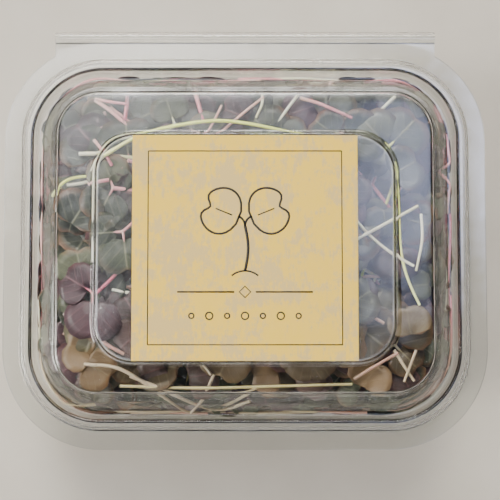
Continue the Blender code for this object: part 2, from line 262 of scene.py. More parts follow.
class Look(Graph):
    """The node tree of one material, round its Principled shader."""

    def __init__(self, name, inputs):
        self.material = bpy.data.materials.new(name)
        self.material.use_nodes = True
        super().__init__(self.material.node_tree)
        self.shader = self.tree.nodes["Principled BSDF"]
        self.put(self.shader, inputs)

    def noise(self, scale, detail=3.0, roughness=0.5, stretch=(1, 1, 1)):
        place = self.node("ShaderNodeTexCoord", output="Object")
        place = self.node("ShaderNodeMapping", {"Vector": place, "Scale": stretch})
        grain = {"Vector": place, "Scale": scale, "Detail": detail, "Roughness": roughness}
        return self.node("ShaderNodeTexNoise", grain, "Fac")

    def steps(self, factor, steps):
        colours = self.node("ShaderNodeValToRGB", {"Fac": factor}, "Color")
        elements = colours.node.color_ramp.elements
        while len(elements) < len(steps):
            elements.new(0.5)
        for element, (position, colour) in zip(elements, steps):
            element.position = position
            element.color = (*colour, 1)
        return colours

    def math(self, operation, *values):
        return self.node("ShaderNodeMath", dict(enumerate(values)), operation=operation)

    def blend(self, factor, first, second):
        inputs = {0: factor, 6: first, 7: (*second, 1)}
        return self.node("ShaderNodeMix", inputs, 2, data_type="RGBA")

    def attribute(self, name):
        return self.node("ShaderNodeAttribute", None, "Fac", attribute_name=name, attribute_type="GEOMETRY")

    def paint(self, colour):
        self.put(self.shader, {"Base Color": colour})

    def bump(self, height, strength, distance):
        inputs = {"Height": height, "Strength": strength, "Distance": distance}
        self.put(self.shader, {"Normal": self.node("ShaderNodeBump", inputs)})

    def show(self, factor, first, second):
        """Shows the first shader where the factor is 0 and the second where it's 1."""
        mixed = self.node("ShaderNodeMixShader", {"Fac": factor, 1: first, 2: second})
        self.put(self.tree.nodes["Material Output"], {"Surface": mixed})

    def pass_shadow_rays(self, tint=(1, 1, 1)):
        clear = self.node("ShaderNodeBsdfTransparent", {"Color": (*tint, 1)})
        shadow = self.node("ShaderNodeLightPath", None, "Is Shadow Ray")
        self.show(shadow, self.shader.outputs["BSDF"], clear)


print("materials are ready to build")

# %% [markdown]
# ## Floor and light
#
# The photo was taken by daylight from behind and above. Here a wide soft panel hangs behind the hinge, so
# that the channels of the lid catch bright lines along the back. The one in front is weak, since it would
# mirror in the dome's front wall and hide the greens there. Two weak ones hang overhead: the lid
# mirrors them as the grey veil over the greens at the back, left and right, so they fade out at their edges.
# The sky is bright low down, which keeps the thin rims of the plastic pale, and dark overhead, which
# keeps the deck clear. The floor is plain and pale.

# %% Light the table
LIGHTS = (
    ("back_panel", (-0.05, 0.75, 0.75), (0.9, 0.5), 14.0, (1.0, 0.96, 0.89)),
    ("veil_panel", (-0.12, 0.27, 0.80), (0.80, 0.50), 1.15, (0.97, 0.97, 1.0)),
    ("right_panel", (0.18, 0.12, 0.80), (0.34, 0.50), 0.66, (0.64, 0.70, 1.0)),
    ("left_panel", (-0.75, -0.15, 0.55), (0.5, 0.6), 9.2, (1.0, 0.97, 0.92)),
    ("front_panel", (0.15, -0.85, 0.60), (0.8, 0.4), 0.6, (1.0, 0.94, 0.84)),
)


def fade_edges(data):
    """Lets a panel's glow fall off smoothly from its middle to its edges."""
    data.use_nodes = True
    graph = Graph(data.node_tree)
    place = graph.node("ShaderNodeNewGeometry", None, "Parametric")
    middle = graph.node("ShaderNodeVectorMath", {0: place, 1: (0.5, 0.5, 0)}, "Value", operation="DISTANCE")
    glow = graph.span(middle, 0.5, 0.0, 0.0, 4.0, interpolation_type="SMOOTHERSTEP")
    graph.put(graph.tree.nodes["Emission"], {"Strength": glow})


def add_light(name, place, size, power, colour):
    data = bpy.data.lights.new(name, "AREA")
    data.shape = "RECTANGLE"
    data.size, data.size_y = size
    data.energy = power
    data.color = colour
    fade_edges(data)
    light = bpy.data.objects.new(name, data)
    light.location = place
    light.rotation_euler = (Vector((0, 0, 0.02)) - Vector(place)).to_track_quat("-Z", "Y").to_euler()
    bpy.context.scene.collection.objects.link(light)


def add_world():
    world = bpy.data.worlds.new("studio")
    world.use_nodes = True
    graph = Graph(world.node_tree)
    direction = graph.node("ShaderNodeTexCoord", None, "Generated")
    height = graph.node("ShaderNodeSeparateXYZ", {"Vector": direction}, "Z")
    glow = graph.span(height, 0.05, 0.7, 0.52, 0.10)
    graph.put(graph.tree.nodes["Background"], {"Color": (0.84, 0.84, 0.86, 1), "Strength": glow})
    bpy.context.scene.world = world


def add_floor():
    bm = bmesh.new()
    bmesh.ops.create_grid(bm, x_segments=1, y_segments=1, size=3)
    look = Look("pale_floor", {"Roughness": 0.7})
    look.paint(look.steps(look.noise(40, 4), ((0.3, (0.59, 0.54, 0.46)), (0.7, (0.64, 0.59, 0.51)))))
    floor = add_piece("floor", to_mesh(bm, "floor"), look.material)


for light in LIGHTS:
    add_light(*light)
add_world()
add_floor()
print("lit by", len(LIGHTS), "soft panels")

# %% [markdown]
# ## Clear plastic
#
# Formed PET is glass-clear, a little uneven and bright where it turns. It bends light, so it's
# made as a real wall with a refractive shader. Light could then only reach the greens through caustics,
# which are slow and noisy, so shadow rays are let straight through with a slight tint. A broad, weak
# bump makes reflections waver as they do on a thin sheet, and small scuffs dull them in places.

# %% The plastic's material
glass = {"Base Color": (0.965, 0.975, 0.97, 1), "IOR": 1.5, "Transmission Weight": 1.0}
look = Look("clear_plastic", glass)
scuffs = look.noise(260, 4, 0.6, (1, 3, 1))
look.put(look.shader, {"Roughness": look.span(scuffs, 0.45, 0.75, 0.02, 0.09)})
look.bump(look.noise(55, 2), 0.25, 0.0012)
look.pass_shadow_rays((0.955, 0.96, 0.955))
CLEAR_PLASTIC = look.material
print("made", CLEAR_PLASTIC.name)

# %% [markdown]
# ## The formed sheets
#
# Tray and lid are each one sheet. Everything on them is the flange's outline moved in and up or down:
# the bead round the mouth, the tapered wall, the foot. So one section, drawn from the edge inwards,
# and one outline are enough, and a loft through level rings makes the sheet. A revolved or extruded
# shape wouldn't do, because the outline is neither round nor straight. The section's corners are
# rounded first, as the mould's are.

# %% Round the corners of a section


def rounded_section(places, steps=5):
    """Places are (inset, height, radius) in mm. Each inner corner becomes an arc of that radius."""
    result = []
    for i, (inset, height, radius) in enumerate(places):
        here = Vector((inset, height))
        if radius == 0 or i in (0, len(places) - 1):
            result.append(here)
            continue
        back = (Vector(places[i - 1][:2]) - here).normalized()
        on = (Vector(places[i + 1][:2]) - here).normalized()
        half = back.angle(on) / 2
        run = radius / math.tan(half)
        hub = here + (back + on).normalized() * (radius / math.sin(half))
        start, end = here + back * run - hub, here + on * run - hub
        turn = start.angle_signed(end)
        for step in range(steps + 1):
            angle = -turn * step / steps
            spun = Matrix.Rotation(angle, 2) @ start
            result.append(hub + spun)
    return [(point.x * MM, point.y * MM) for point in result]


TRAY_FLANGE_MM = TRAY_FLANGE / MM
LID_FLANGE_MM = LID_FLANGE / MM
DECK_MM = DECK / MM
TRAY_SECTION = rounded_section((
    (0, TRAY_FLANGE_MM, 0),
    (5.65, TRAY_FLANGE_MM, 0.35),
    (6.4, TRAY_FLANGE_MM + 2.8, 0.7),
    (8.22, TRAY_FLANGE_MM + 2.8, 0.7),
    (8.7, TRAY_FLANGE_MM - 0.8, 1.5),
    (15.35, 0.6, 2.6),
    (21.8, 0.6, 0.8),
    (22.8, 1.6, 0.8),
    (24.0, 1.6, 0),
))
LID_SECTION = rounded_section((
    (0, LID_FLANGE_MM, 0),
    (4.85, LID_FLANGE_MM, 0.35),
    (5.7, LID_FLANGE_MM + 2.9, 0.9),
    (8.77, LID_FLANGE_MM + 2.9, 0.8),
    (9.93, LID_FLANGE_MM - 0.6, 0.45),
    (11.27, LID_FLANGE_MM - 0.6, 0.45),
    (16.95, DECK_MM, 1.6),
    (20.2, DECK_MM, 0),
))
print("tray section", len(TRAY_SECTION), "places, lid section", len(LID_SECTION))

# %% [markdown]
# A ring is a rounded rectangle with the same number of points at every inset, so that neighbouring
# rings join by quads. The corners get tighter as the inset grows.

# %% Loft a sheet through rings
CORNER_STEPS = 24
LEAF_TURN = 1 / 3
FLANGE = (FLANGE_WIDTH, FLANGE_DEPTH, FLANGE_CORNER, CENTRE_Y)
PANEL = (85 * MM, 64.5 * MM, 11 * MM, PANEL_Y)


def ring_of(outline, inset, height):
    """Points round an outline of a width, a depth, a corner and a middle, drawn in by the inset."""
    width, depth, corner, centre_y = outline
    half_x, half_y, corner = width / 2 - inset, depth / 2 - inset, corner - inset
    points = []
    for quarter in range(4):
        side_x = 1 if quarter in (0, 3) else -1
        side_y = 1 if quarter in (0, 1) else -1
        hub = Vector((side_x * (half_x - corner), centre_y + side_y * (half_y - corner), height))
        for step in range(CORNER_STEPS + 1):
            angle = math.pi / 2 * (quarter + step / CORNER_STEPS)
            points.append(hub + corner * Vector((math.cos(angle), math.sin(angle), 0)))
    return points


def loft(rings, leaf_rows):
    """Quads between rings, a face over the last one, and a leaf drawn back from the first one."""
    bm = bmesh.new()
    loops = [[bm.verts.new(point) for point in ring] for ring in rings]
    count = len(loops[0])
    for outer, inner in zip(loops, loops[1:]):
        for i in range(count):
            bm.faces.new((outer[i], outer[(i + 1) % count], inner[(i + 1) % count], inner[i]))
    bm.faces.new(loops[-1])
    turned = round(CORNER_STEPS * LEAF_TURN)
    span_of_leaf = range(CORNER_STEPS - turned, CORNER_STEPS + 1 + turned)
    edges = [bm.edges.get((loops[0][i], loops[0][i + 1])) for i in span_of_leaf]
    for place_y, height in leaf_rows:
        drawn = bmesh.ops.extrude_edge_only(bm, edges=edges)["geom"]
        for part in drawn:
            if isinstance(part, bmesh.types.BMVert):
                part.co.y, part.co.z = place_y, height
        edges = [part for part in drawn if isinstance(part, bmesh.types.BMEdge)]
    bmesh.ops.recalc_face_normals(bm, faces=bm.faces)
    bm.faces.ensure_lookup_table()
    if bm.faces[0].normal.z < 0:
        bmesh.ops.reverse_faces(bm, faces=bm.faces)
    return bm


print("each ring has", 4 * (CORNER_STEPS + 1), "points")

# %% [markdown]
# ## Tray and lid
#
# The flanges run back to the hinge as two leaves. Near the hinge they step apart, so that the fold
# between them has room. On the lid, a low panel rises from the deck to carry the label. A flat ring lies
# just outside and just inside its slope, so that the soft shade of the slope ends there. The cut edges
# of the sheet are marked sharp after it has its wall: a soft shade across them would bend the light in
# the whole flange.

# %% Make the two shells
BACK_EDGE = CENTRE_Y + FLANGE_DEPTH / 2
LEAF_STEP = (FOLD_HIGH.z - FOLD_LOW.z - WALL) / 2 - (WALL + NEST_GAP) / 2
LEAF_END = AXIS_Y - 0.15 * MM


def leaf_rows(level, lift):
    shares = ((0.1, 0), (0.28, 0.06), (0.45, 0.3), (0.65, 0.7), (0.82, 0.94), (1.0, 1))
    rows = [(BACK_EDGE + run * MM, level + lift * share) for run, share in shares]
    return [*rows, (LEAF_END, level + lift)]


def make_shell(name, rings, rows, body, node):
    shell = add_piece(name, to_mesh(loft(rings, rows), name, 60), CLEAR_PLASTIC)
    thicken(shell, WALL, -1, even=True)
    shell.data.set_sharp_from_angle(angle=math.radians(50))
    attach(shell, body)
    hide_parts(node)
    return tell(shell)


PANEL_RISES = (
    (-1.8, 0), (-1.5, 0), (-1.1, 0.1), (-0.8, 0.4), (-0.4, 1.1), (-0.1, 1.8), (0.1, 2.2), (0.5, 2.5),
    (0.8, 2.5),
)
tray_rings = [ring_of(FLANGE, inset, height) for inset, height in TRAY_SECTION]
lid_rings = [ring_of(FLANGE, inset, height) for inset, height in LID_SECTION]
lid_rings += [ring_of(PANEL, inset * MM, DECK + rise * MM) for inset, rise in PANEL_RISES]
make_shell("tray_shell", tray_rings, leaf_rows(TRAY_FLANGE, -LEAF_STEP), "tray", "tray")
make_shell("lid_shell", lid_rings, leaf_rows(LID_FLANGE, LEAF_STEP), "lid", "lid")

# %% [markdown]
# ## The living hinge
#
# At the hinge the sheet turns over in one tight roll, which flexes each time the lid opens.

# %% Roll the hinge
FOLD_STEPS = 20


def make_living_hinge():
    radius = (FOLD_HIGH.z - FOLD_LOW.z - WALL) / 2
    bm = bmesh.new()
    rows = []
    for step in range(FOLD_STEPS + 1):
        angle = math.pi * (step / FOLD_STEPS - 0.5)
        place = (AXIS_Y + radius * math.cos(angle), AXIS_Z + radius * math.sin(angle))
        rows.append([bm.verts.new((x, *place)) for x in (FOLD_LOW.x, FOLD_HIGH.x)])
    for low, high in zip(rows, rows[1:]):
        bm.faces.new((low[0], low[1], high[1], high[0]))
    bmesh.ops.recalc_face_normals(bm, faces=bm.faces)
    fold = add_piece("living_hinge", to_mesh(bm, "living_hinge", 60), CLEAR_PLASTIC)
    thicken(fold, WALL, 0)
    fold.data.set_sharp_from_angle(angle=math.radians(50))
    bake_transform(fold)
    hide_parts("hinge_fold")
    return tell(fold)


make_living_hinge()

# %% [markdown]
# ## Kraft paper and ink
#
# Kraft is uncoated brown paper. Its colour wanders in soft blotches, with fine fibres over them, and it
# doesn't shine. Two noises do that: a broad one for the blotches and a stretched, fine one for fibres.
# The ink is matt black and a little worn.

# %% The materials of paper and ink
look = Look("kraft_paper", {"Roughness": 0.9})
blotches = look.noise(75, 6, 0.7)
fibres = look.noise(900, 3, 0.6, (1, 0.25, 1))
tone = look.span(look.math("MULTIPLY_ADD", fibres, 0.35, blotches), 0.48, 0.88)
steps = ((0.0, (0.98, 0.66, 0.07)), (0.45, (0.98, 0.65, 0.09)), (0.65, (0.76, 0.55, 0.20)))
look.paint(look.steps(tone, steps))
look.bump(fibres, 0.25, 0.0002)
KRAFT = look.material
look = Look("black_ink", {"Roughness": 0.6})
steps = ((0.35, (0.012, 0.010, 0.008)), (0.75, (0.035, 0.028, 0.020)))
look.paint(look.steps(look.noise(1500, 2), steps))
INK = look.material
print("made", KRAFT.name, "and", INK.name)

# %% [markdown]
# ## The label
#
# The label is one square of paper with square corners. What is printed on it here is a plain
# design of its own: a thin frame, two rules, a sprouting seedling and a row of seeds, all in black
# lines. Each line is a ribbon of paper-thin ink, so it stays crisp however close the camera comes.

# %% Cut the paper
LABEL_HALF = (LABEL_HIGH.x - LABEL_LOW.x) / 2
INK_DEPTH = 0.02 * MM
LABEL_TOP = LABEL_HIGH.z - INK_DEPTH
LABEL_BOTTOM = PANEL_TOP + 0.01 * MM


def make_label():
    bm = bmesh.new()
    size = Matrix.Diagonal((2 * LABEL_HALF, 2 * LABEL_HALF, LABEL_TOP - LABEL_BOTTOM, 1))
    middle = Matrix.Translation((0, PANEL_Y, (LABEL_TOP + LABEL_BOTTOM) / 2))
    bmesh.ops.create_cube(bm, size=1, matrix=middle @ size)
    label = add_piece("paper_label", to_mesh(bm, "paper_label"), KRAFT)
    edge = label.modifiers.new("cut_edge", "BEVEL")
    edge.width = 0.08 * MM
    edge.segments = 2
    bake(label)
    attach(label, "lid")
    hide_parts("label")
    return tell(label)


make_label()

# %% Draw the print's lines as ribbons


def ribbon(bm, points, width, closed=False):
    """A flat strip along points in the label's plane, given in mm from the label's middle."""
    flat = [Vector(point) for point in points]
    count = len(flat)
    pairs = []
    for i, point in enumerate(flat):
        before = flat[i - 1] if closed or i > 0 else point
        after = flat[(i + 1) % count] if closed or i < count - 1 else point
        along = (after - before).normalized()
        side = Vector((-along.y, along.x)) * width / 2
        pairs.append([
            bm.verts.new((edge.x * MM, PANEL_Y + edge.y * MM, LABEL_TOP))
            for edge in (point - side, point + side)
        ])
    for i in range(count if closed else count - 1):
        a, b = pairs[i], pairs[(i + 1) % count]
        bm.faces.new((a[0], b[0], b[1], a[1]))


def polar(centre, reach, angle):
    return centre[0] + reach * math.cos(angle), centre[1] + reach * math.sin(angle)


def arc_points(centre, radius, start, end, steps=24):
    turns = [math.radians(start + (end - start) * step / steps) for step in range(steps + 1)]
    return [polar(centre, radius, turn) for turn in turns]


def seed_leaf_line(base, lean, length):
    """The outline of a notched seed leaf, as points round from its base."""
    points = []
    for step in range(33):
        angle = math.radians(-96 + 192 * step / 32)
        reach = length * max(0.02, math.cos(0.93 * angle)) ** 0.45
        reach *= 1 - 0.22 * math.exp(-(angle / 0.22) ** 2)
        points.append(polar(base, reach, math.radians(lean) + angle * 0.8))
    return points


print("a ribbon is two points wide at every step")

# %% Print the design
FRAME_MARGIN = 4.5
RULE_Y = -12.5


def make_print():
    bm = bmesh.new()
    half = LABEL_HALF / MM - FRAME_MARGIN
    for y in (-half, half):
        ribbon(bm, ((-half, y), (half, y)), 0.3)
    for x in (-half, half):
        ribbon(bm, ((x, -half), (x, half)), 0.3)
    for start in (-19, 3):
        ribbon(bm, ((start, RULE_Y), (start + 16, RULE_Y)), 0.45)
    ribbon(bm, ((0, RULE_Y + 1.6), (1.6, RULE_Y), (0, RULE_Y - 1.6), (-1.6, RULE_Y)), 0.35, True)
    ribbon(bm, [(0.9 * math.sin(step / 12 * 3.1), -6.6 + 12.6 * step / 12) for step in range(13)], 0.8)
    ribbon(bm, arc_points((0, -12.4), 5.8, 50, 130), 0.45)
    for side, lean in ((1, 22), (-1, 158)):
        ribbon(bm, arc_points((side * 3.0, 6.0), 3.0, 90 + side * 90, 90 + side * 20, 8), 0.6)
        base = (side * 1.4, 8.2)
        ribbon(bm, seed_leaf_line(base, lean, 11.5), 0.6, True)
        ribbon(bm, [polar(base, run, math.radians(lean)) for run in (2.4, 5, 7.4)], 0.35)
    for i in range(7):
        seed = arc_points(((i - 3) * 5, -19.2), 1.0 if i % 2 else 0.7, 0, 345, 23)
        ribbon(bm, seed, 0.4, True)
    bmesh.ops.recalc_face_normals(bm, faces=bm.faces)
    for face in bm.faces:
        if face.normal.z < 0:
            face.normal_flip()
    printed = add_piece("label_print", to_mesh(bm, "label_print"), INK)
    thicken(printed, INK_DEPTH, 1)
    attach(printed, "lid")
    return tell(printed)


make_print()

# %% [markdown]
# ## How a seedling lies
#
# A cut radish seedling is a thin bowed stem with two notched seed leaves. In the CAD model they lie in
# level beds. The crowns stand round the wall and the stems run back across the middle. The same rule and
# the same seed are used again here, so each finer stem and leaf lies exactly where its solid is.

# %% The seedlings' sizes, as in the CAD model
SEED = 41
STEM_RADIUS = 0.65 * MM
STEM_POINTS = 9
STEM_LENGTHS = (38 * MM, 60 * MM)
STEM_BOW = 26
STEM_STAGGER = 0.13 * MM
LEAF_LENGTH = 10.5 * MM
LEAF_LENGTH_SHARES = (0.9, 1.08)
SMALL_LEAF_SHARE = 0.85
LEAF_ANGLES = (50, 72)
LEAF_MIDDLE = 0.52
LEAF_CUPS = (0.3 * MM, 1.0 * MM)
LEAF_ROLL = 0.9 * MM
STALK_LENGTH = 1.6 * MM
CROWN_GAP = 0.5 * MM
BEDS = 9
BED_TURN = 0.38
BED_FLOOR = 2.0 * MM
BED_CEILING_GAP = 0.4 * MM
STEMS_IN_A_BED = 5
PLACE_TRIES = 500
PLACE_JITTER = 0.4
HEADING_JITTER = 0.7
CROWN_SHARES = (0.62, 1.05)
LEAF_SPREAD = 0.74
LEAF_LIFT = 0.4 * MM
LEAST_BETWEEN_BLADES = 9.5 * MM
LEAST_BESIDE_STEMS = 2 * MM
CLEARANCE = 1.0 * MM
MOUTH = (8.7 * MM, TRAY_FLANGE - 0.8 * MM)
FOOT = (14.7 * MM, 3.6 * MM)
CHANNEL = (11.6 * MM, LID_FLANGE + 0.1 * MM)
SHOULDER = (16.3 * MM, DECK - 1.4 * MM)
print("beds:", BEDS, "with", STEMS_IN_A_BED, "stems each")

# %% Stay inside the walls


def inset_at(height, start, end):
    share = max(0, (height - start[1]) / (end[1] - start[1]))
    return start[0] + share * (end[0] - start[0])


def wall_inset(low, high):
    """How far inside the flange's edge anything between two heights has to stay."""
    tray_wall = inset_at(low, MOUTH, FOOT)
    if high < MOUTH[1]:
        return tray_wall + CLEARANCE
    dome_wall = inset_at(high, CHANNEL, SHOULDER) + WALL
    return max(tray_wall, dome_wall) + CLEARANCE


def room_left(point, inset):
    """How far a point is inside the rounded outline at that inset. It's negative outside."""
    corner = FLANGE_CORNER - inset
    across = abs(point.x) - (FLANGE_WIDTH / 2 - inset - corner)
    along = abs(point.y - CENTRE_Y) - (FLANGE_DEPTH / 2 - inset - corner)
    outside = math.hypot(max(0, across), max(0, along))
    return corner - outside - min(0, max(across, along))


def side_inset(height):
    """How far inside the flange's edge the wall's own face is at that height."""
    return wall_inset(height, height) - CLEARANCE


print("room at the middle of the floor:", round(room_left(Vector((0, CENTRE_Y, 0)), MOUTH[0]) / MM), "mm")

# %% Plan one bed, as the CAD model does


def heading_vector(angle):
    return Vector((math.cos(angle), math.sin(angle), 0))


def stem_points(crown_end, heading, bow, length):
    """A bowed stem, from its cut end to the end under its leaves, which heads that way."""
    step = length / (STEM_POINTS - 1)
    turned = heading + math.pi
    points = [crown_end]
    for i in range(1, STEM_POINTS):
        dip = LEAF_LIFT if i == 1 else 0
        points.append(points[-1] + heading_vector(turned) * step - Vector((0, 0, dip)))
        turned += bow * step
    return points[::-1]


def far_apart(first, second, least):
    return all((a - b).xy.length > least for a in first for b in second)


def cross(first, second):
    """True if two stems, seen from above, cross."""
    for a, b in zip(first, first[1:]):
        for c, d in zip(second, second[1:]):
            if intersect_line_line_2d(a.xy, b.xy, c.xy, d.xy) is not None:
                return True
    return False


def leaf_places(chance, crown, out):
    """Base, heading and length of the two seed leaves that stand off a crown to both sides."""
    blades = []
    for side, share in ((1, 1.0), (-1, SMALL_LEAF_SHARE)):
        turn = out + side * math.radians(chance.uniform(*LEAF_ANGLES))
        way = heading_vector(turn)
        length = LEAF_LENGTH * share * chance.uniform(*LEAF_LENGTH_SHARES)
        blades.append((crown + way * STALK_LENGTH, way, length))
    return blades


def plan_bed(chance, bed, level, inset):
    stems = []
    pairs = []
    spread = LEAF_LENGTH * LEAF_SPREAD
    reach_x = FLANGE_WIDTH / 2 - inset - spread
    reach_y = FLANGE_DEPTH / 2 - inset - spread
    for number in range(STEMS_IN_A_BED):
        height = level + LEAF_LIFT + (number - STEMS_IN_A_BED // 2) * STEM_STAGGER
        place = 2 * math.pi * (number / STEMS_IN_A_BED + bed * BED_TURN)
        for _ in range(PLACE_TRIES):
            around = place + chance.uniform(-PLACE_JITTER, PLACE_JITTER)
            share = chance.uniform(*CROWN_SHARES)
            spot = Vector((math.cos(around) * reach_x * share, math.sin(around) * reach_y * share, 0))
            crown = Vector((0, CENTRE_Y, height)) + spot
            out = math.atan2(spot.y, spot.x) + chance.uniform(-HEADING_JITTER, HEADING_JITTER)
            back = heading_vector(out) * (STEM_RADIUS + CROWN_GAP)
            bow = chance.uniform(-STEM_BOW, STEM_BOW)
            points = stem_points(crown - back, out, bow, chance.uniform(*STEM_LENGTHS))
            blades = leaf_places(chance, crown, out)
            middles = [base + way * length * LEAF_MIDDLE for base, way, length in blades]
            taken = [middle for pair in pairs for middle in pair["middles"]]
            earlier = [point for stem in stems for point in stem]
            clear = (
                all(room_left(point, inset) > STEM_RADIUS for point in points)
                and all(room_left(middle, inset) > spread for middle in middles)
                and far_apart(middles[:1], middles[1:], LEAST_BETWEEN_BLADES)
                and far_apart(middles, taken, 2 * spread)
                and far_apart(middles, earlier, spread + LEAST_BESIDE_STEMS)
                and far_apart(points, taken, spread + LEAST_BESIDE_STEMS)
                and (not stems or any(cross(points, stem) for stem in stems))
            )
            if clear:
                stems.append(points)
                pairs.append({"crown": crown, "blades": blades, "middles": middles})
                break
    return stems, pairs


print("a stem is between", [round(v / MM) for v in STEM_LENGTHS], "mm long")

# %% [markdown]
# ## Two lists for all the greens
#
# Everything that grows ends up in two plain lists: lines for the stems and stalks, and places for the
# leaves. Each entry knows its colour and a random shade of its own. Geometry Nodes later turn each
# list into meshes, one for each colour, so hundreds of stems and leaves cost a few short cells.

# %% Start the lists
STEM_COLOURS = ("pink_stem", "cream_stem", "pink_stem", "lime_stem")
LEAF_COLOURS = ("green_leaf", "purple_leaf", "green_leaf")
Line = namedtuple("Line", "points colour radius tip_radius shade")
Blade = namedtuple("Blade", "base turn length colour form shade")
LINES = []
BLADES = []


def smooth_line(points, steps):
    """A Catmull-Rom curve through the points, with that many steps between two of them."""
    ends = [points[0] * 2 - points[1], *points, points[-1] * 2 - points[-2]]
    line = []
    for p0, p1, p2, p3 in zip(ends, ends[1:], ends[2:], ends[3:]):
        for step in range(steps):
            t = step / steps
            line.append(0.5 * (
                2 * p1 + (p2 - p0) * t + (2 * p0 - 5 * p1 + 4 * p2 - p3) * t ** 2
                + (3 * p1 - p0 - 3 * p2 + p3) * t ** 3
            ))
    line.append(points[-1].copy())
    return line


def add_line(points, colour, radius, tip_radius, shade, steps=3):
    LINES.append(Line(smooth_line(points, steps), colour, radius, tip_radius, shade))


def add_stalk(crown, base, way, colour, shade):
    knee = (crown + base) / 2 - Vector((0, 0, 0.12 * MM))
    add_line([crown, knee, base + way * 0.7 * MM], colour, 0.46 * MM, 0.28 * MM, shade, 2)


print("lists are empty:", len(LINES), len(BLADES))

# %% [markdown]
# ## The seedlings of the CAD model
#
# These stand for the CAD nodes. A check at the end of the cell compares the planned leaves with the boxes
# of the real nodes, so a change in the CAD model can't pass unseen.

# %% Lay the CAD model's seedlings
FORMS = 8
UP_FORMS = range(0, FORMS // 2)
DOWN_FORMS = range(FORMS // 2, FORMS)


def lay_cad_seedlings():
    chance = random.Random(SEED)
    looks = random.Random(SEED + 1)
    step = (DECK - WALL - BED_CEILING_GAP - BED_FLOOR) / BEDS
    nodes = {"stems": {}, "leaves": {}}
    worst = 0
    pair_number = 0
    for bed in range(BEDS):
        low = BED_FLOOR + bed * step
        stems, pairs = plan_bed(chance, bed, low + step / 2, wall_inset(low, low + step))
        stem_colour = STEM_COLOURS[bed % len(STEM_COLOURS)]
        nodes["stems"].setdefault(stem_colour, []).append(f"stems_{bed + 1:02d}")
        for points, pair in zip(stems, pairs):
            pair_number += 1
            name = f"leaf_pair_{pair_number:02d}"
            colour = LEAF_COLOURS[pair_number % len(LEAF_COLOURS)]
            nodes["leaves"].setdefault(colour, []).append(name)
            shade = looks.random()
            add_line(points + [pair["crown"]], stem_colour, 0.52 * MM, 0.62 * MM, shade)
            for base, way, length in pair["blades"]:
                cup = chance.uniform(*LEAF_CUPS) * chance.choice((-1, 1))
                roll = chance.uniform(-LEAF_ROLL, LEAF_ROLL)
                yaw = math.atan2(way.y, way.x)
                turn = Matrix.Rotation(yaw, 3, "Z") @ Matrix.Rotation(-cup / length, 3, "Y")
                turn = turn @ Matrix.Rotation(roll / length, 3, "X")
                form = looks.choice(UP_FORMS if cup > 0 else DOWN_FORMS)
                lift = Vector((0, 0, -LEAF_MIDDLE * cup))
                BLADES.append(Blade(base + lift, turn.to_euler(), length, colour, form, looks.random()))
                add_stalk(pair["crown"], base + lift, way, stem_colour, shade)
            low_corner, high_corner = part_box(name)
            middle = (low_corner + high_corner) / 2
            planned = (pair["middles"][0] + pair["middles"][1]) / 2
            worst = max(worst, (middle - planned).xy.length)
    return nodes, worst


CAD_GREENS, WORST = lay_cad_seedlings()
print(len(LINES), "lines,", len(BLADES), "leaves, farthest pair from its node:", round(WORST / MM, 1), "mm")

# %% [markdown]
# ## More seedlings
#
# A full tray holds many more seedlings than a light CAD model can. These fill the space between: each
# gets a random crown, a heading and a slight slope, and is kept only if all of it lies inside the walls.
# Near the lid the leaves lie flat, since the lid presses on them. Deeper down they tilt as they like.

# %% Fill the tray by rule
FILL_SEED = 7
FILL_COUNT = 400
FILL_TRIES = 60000
FILL_REACH = (60, 48)
FILL_FLOOR = 2.6 * MM
FILL_TOP = DECK - WALL - 0.9 * MM
PRESSED_DEPTH = 3 * MM
LEAF_SPARE = 0.4 * MM
STEM_SPARE = 0.7 * MM
CROWN_SPARE = 2 * MM
FILL_COLOURS = ("pink_stem", "cream_stem", "pink_stem", "cream_stem", "pink_stem", "lime_stem")
FILL_LEAVES = ("green_leaf", "green_leaf", "purple_leaf")
LEAF_CORNERS = (
    (0.90, 0.32), (0.90, -0.32), (0.64, 0.64), (0.64, -0.64), (0.41, 0.72), (0.41, -0.72), (0.12, 0.62),
    (0.12, -0.62),
)


def fits(point, spare):
    return FILL_FLOOR < point.z < FILL_TOP and room_left(point, side_inset(point.z)) > spare


def leaf_fits(turn, base, length, spare):
    corners = [turn @ Vector((x, y, 0)) * length + base for x, y in LEAF_CORNERS]
    return all(fits(corner, spare) for corner in corners)


def tilted_blade(chance, crown, out, side, flat):
    yaw = out + side * math.radians(chance.uniform(35, 80))
    most = 3 if flat else 28
    pitch = math.radians(chance.uniform(-most, most))
    roll = math.radians(chance.uniform(-most, most))
    length = LEAF_LENGTH * chance.uniform(0.72, 1.2)
    turn = Matrix.Rotation(yaw, 3, "Z") @ Matrix.Rotation(pitch, 3, "Y") @ Matrix.Rotation(roll, 3, "X")
    way = turn @ Vector((1, 0, 0))
    base = crown + way * chance.uniform(1.2, 2.6) * MM
    return (base, way, turn, length) if leaf_fits(turn, base, length, LEAF_SPARE) else None


def bent_stem(chance, spot, out, flat, number):
    """A stem from the crown at that spot, which sways and slopes on its way back."""
    length = chance.uniform(30, 62) * MM
    points = stem_points(spot, out, chance.uniform(-30, 30), length)
    slope = chance.uniform(-0.16, 0.10) * (0.3 if flat else 1)
    sway = heading_vector(out + math.pi / 2) * chance.uniform(-2.4, 2.4) * MM
    turns = chance.uniform(3, 8)
    for i, point in enumerate(points):
        share = 1 - i / (len(points) - 1)
        point += sway * math.sin(share * turns)
        point.z = spot.z + slope * share * 45 * MM + math.sin(share * 3 + number) * 0.6 * MM * share
    return points


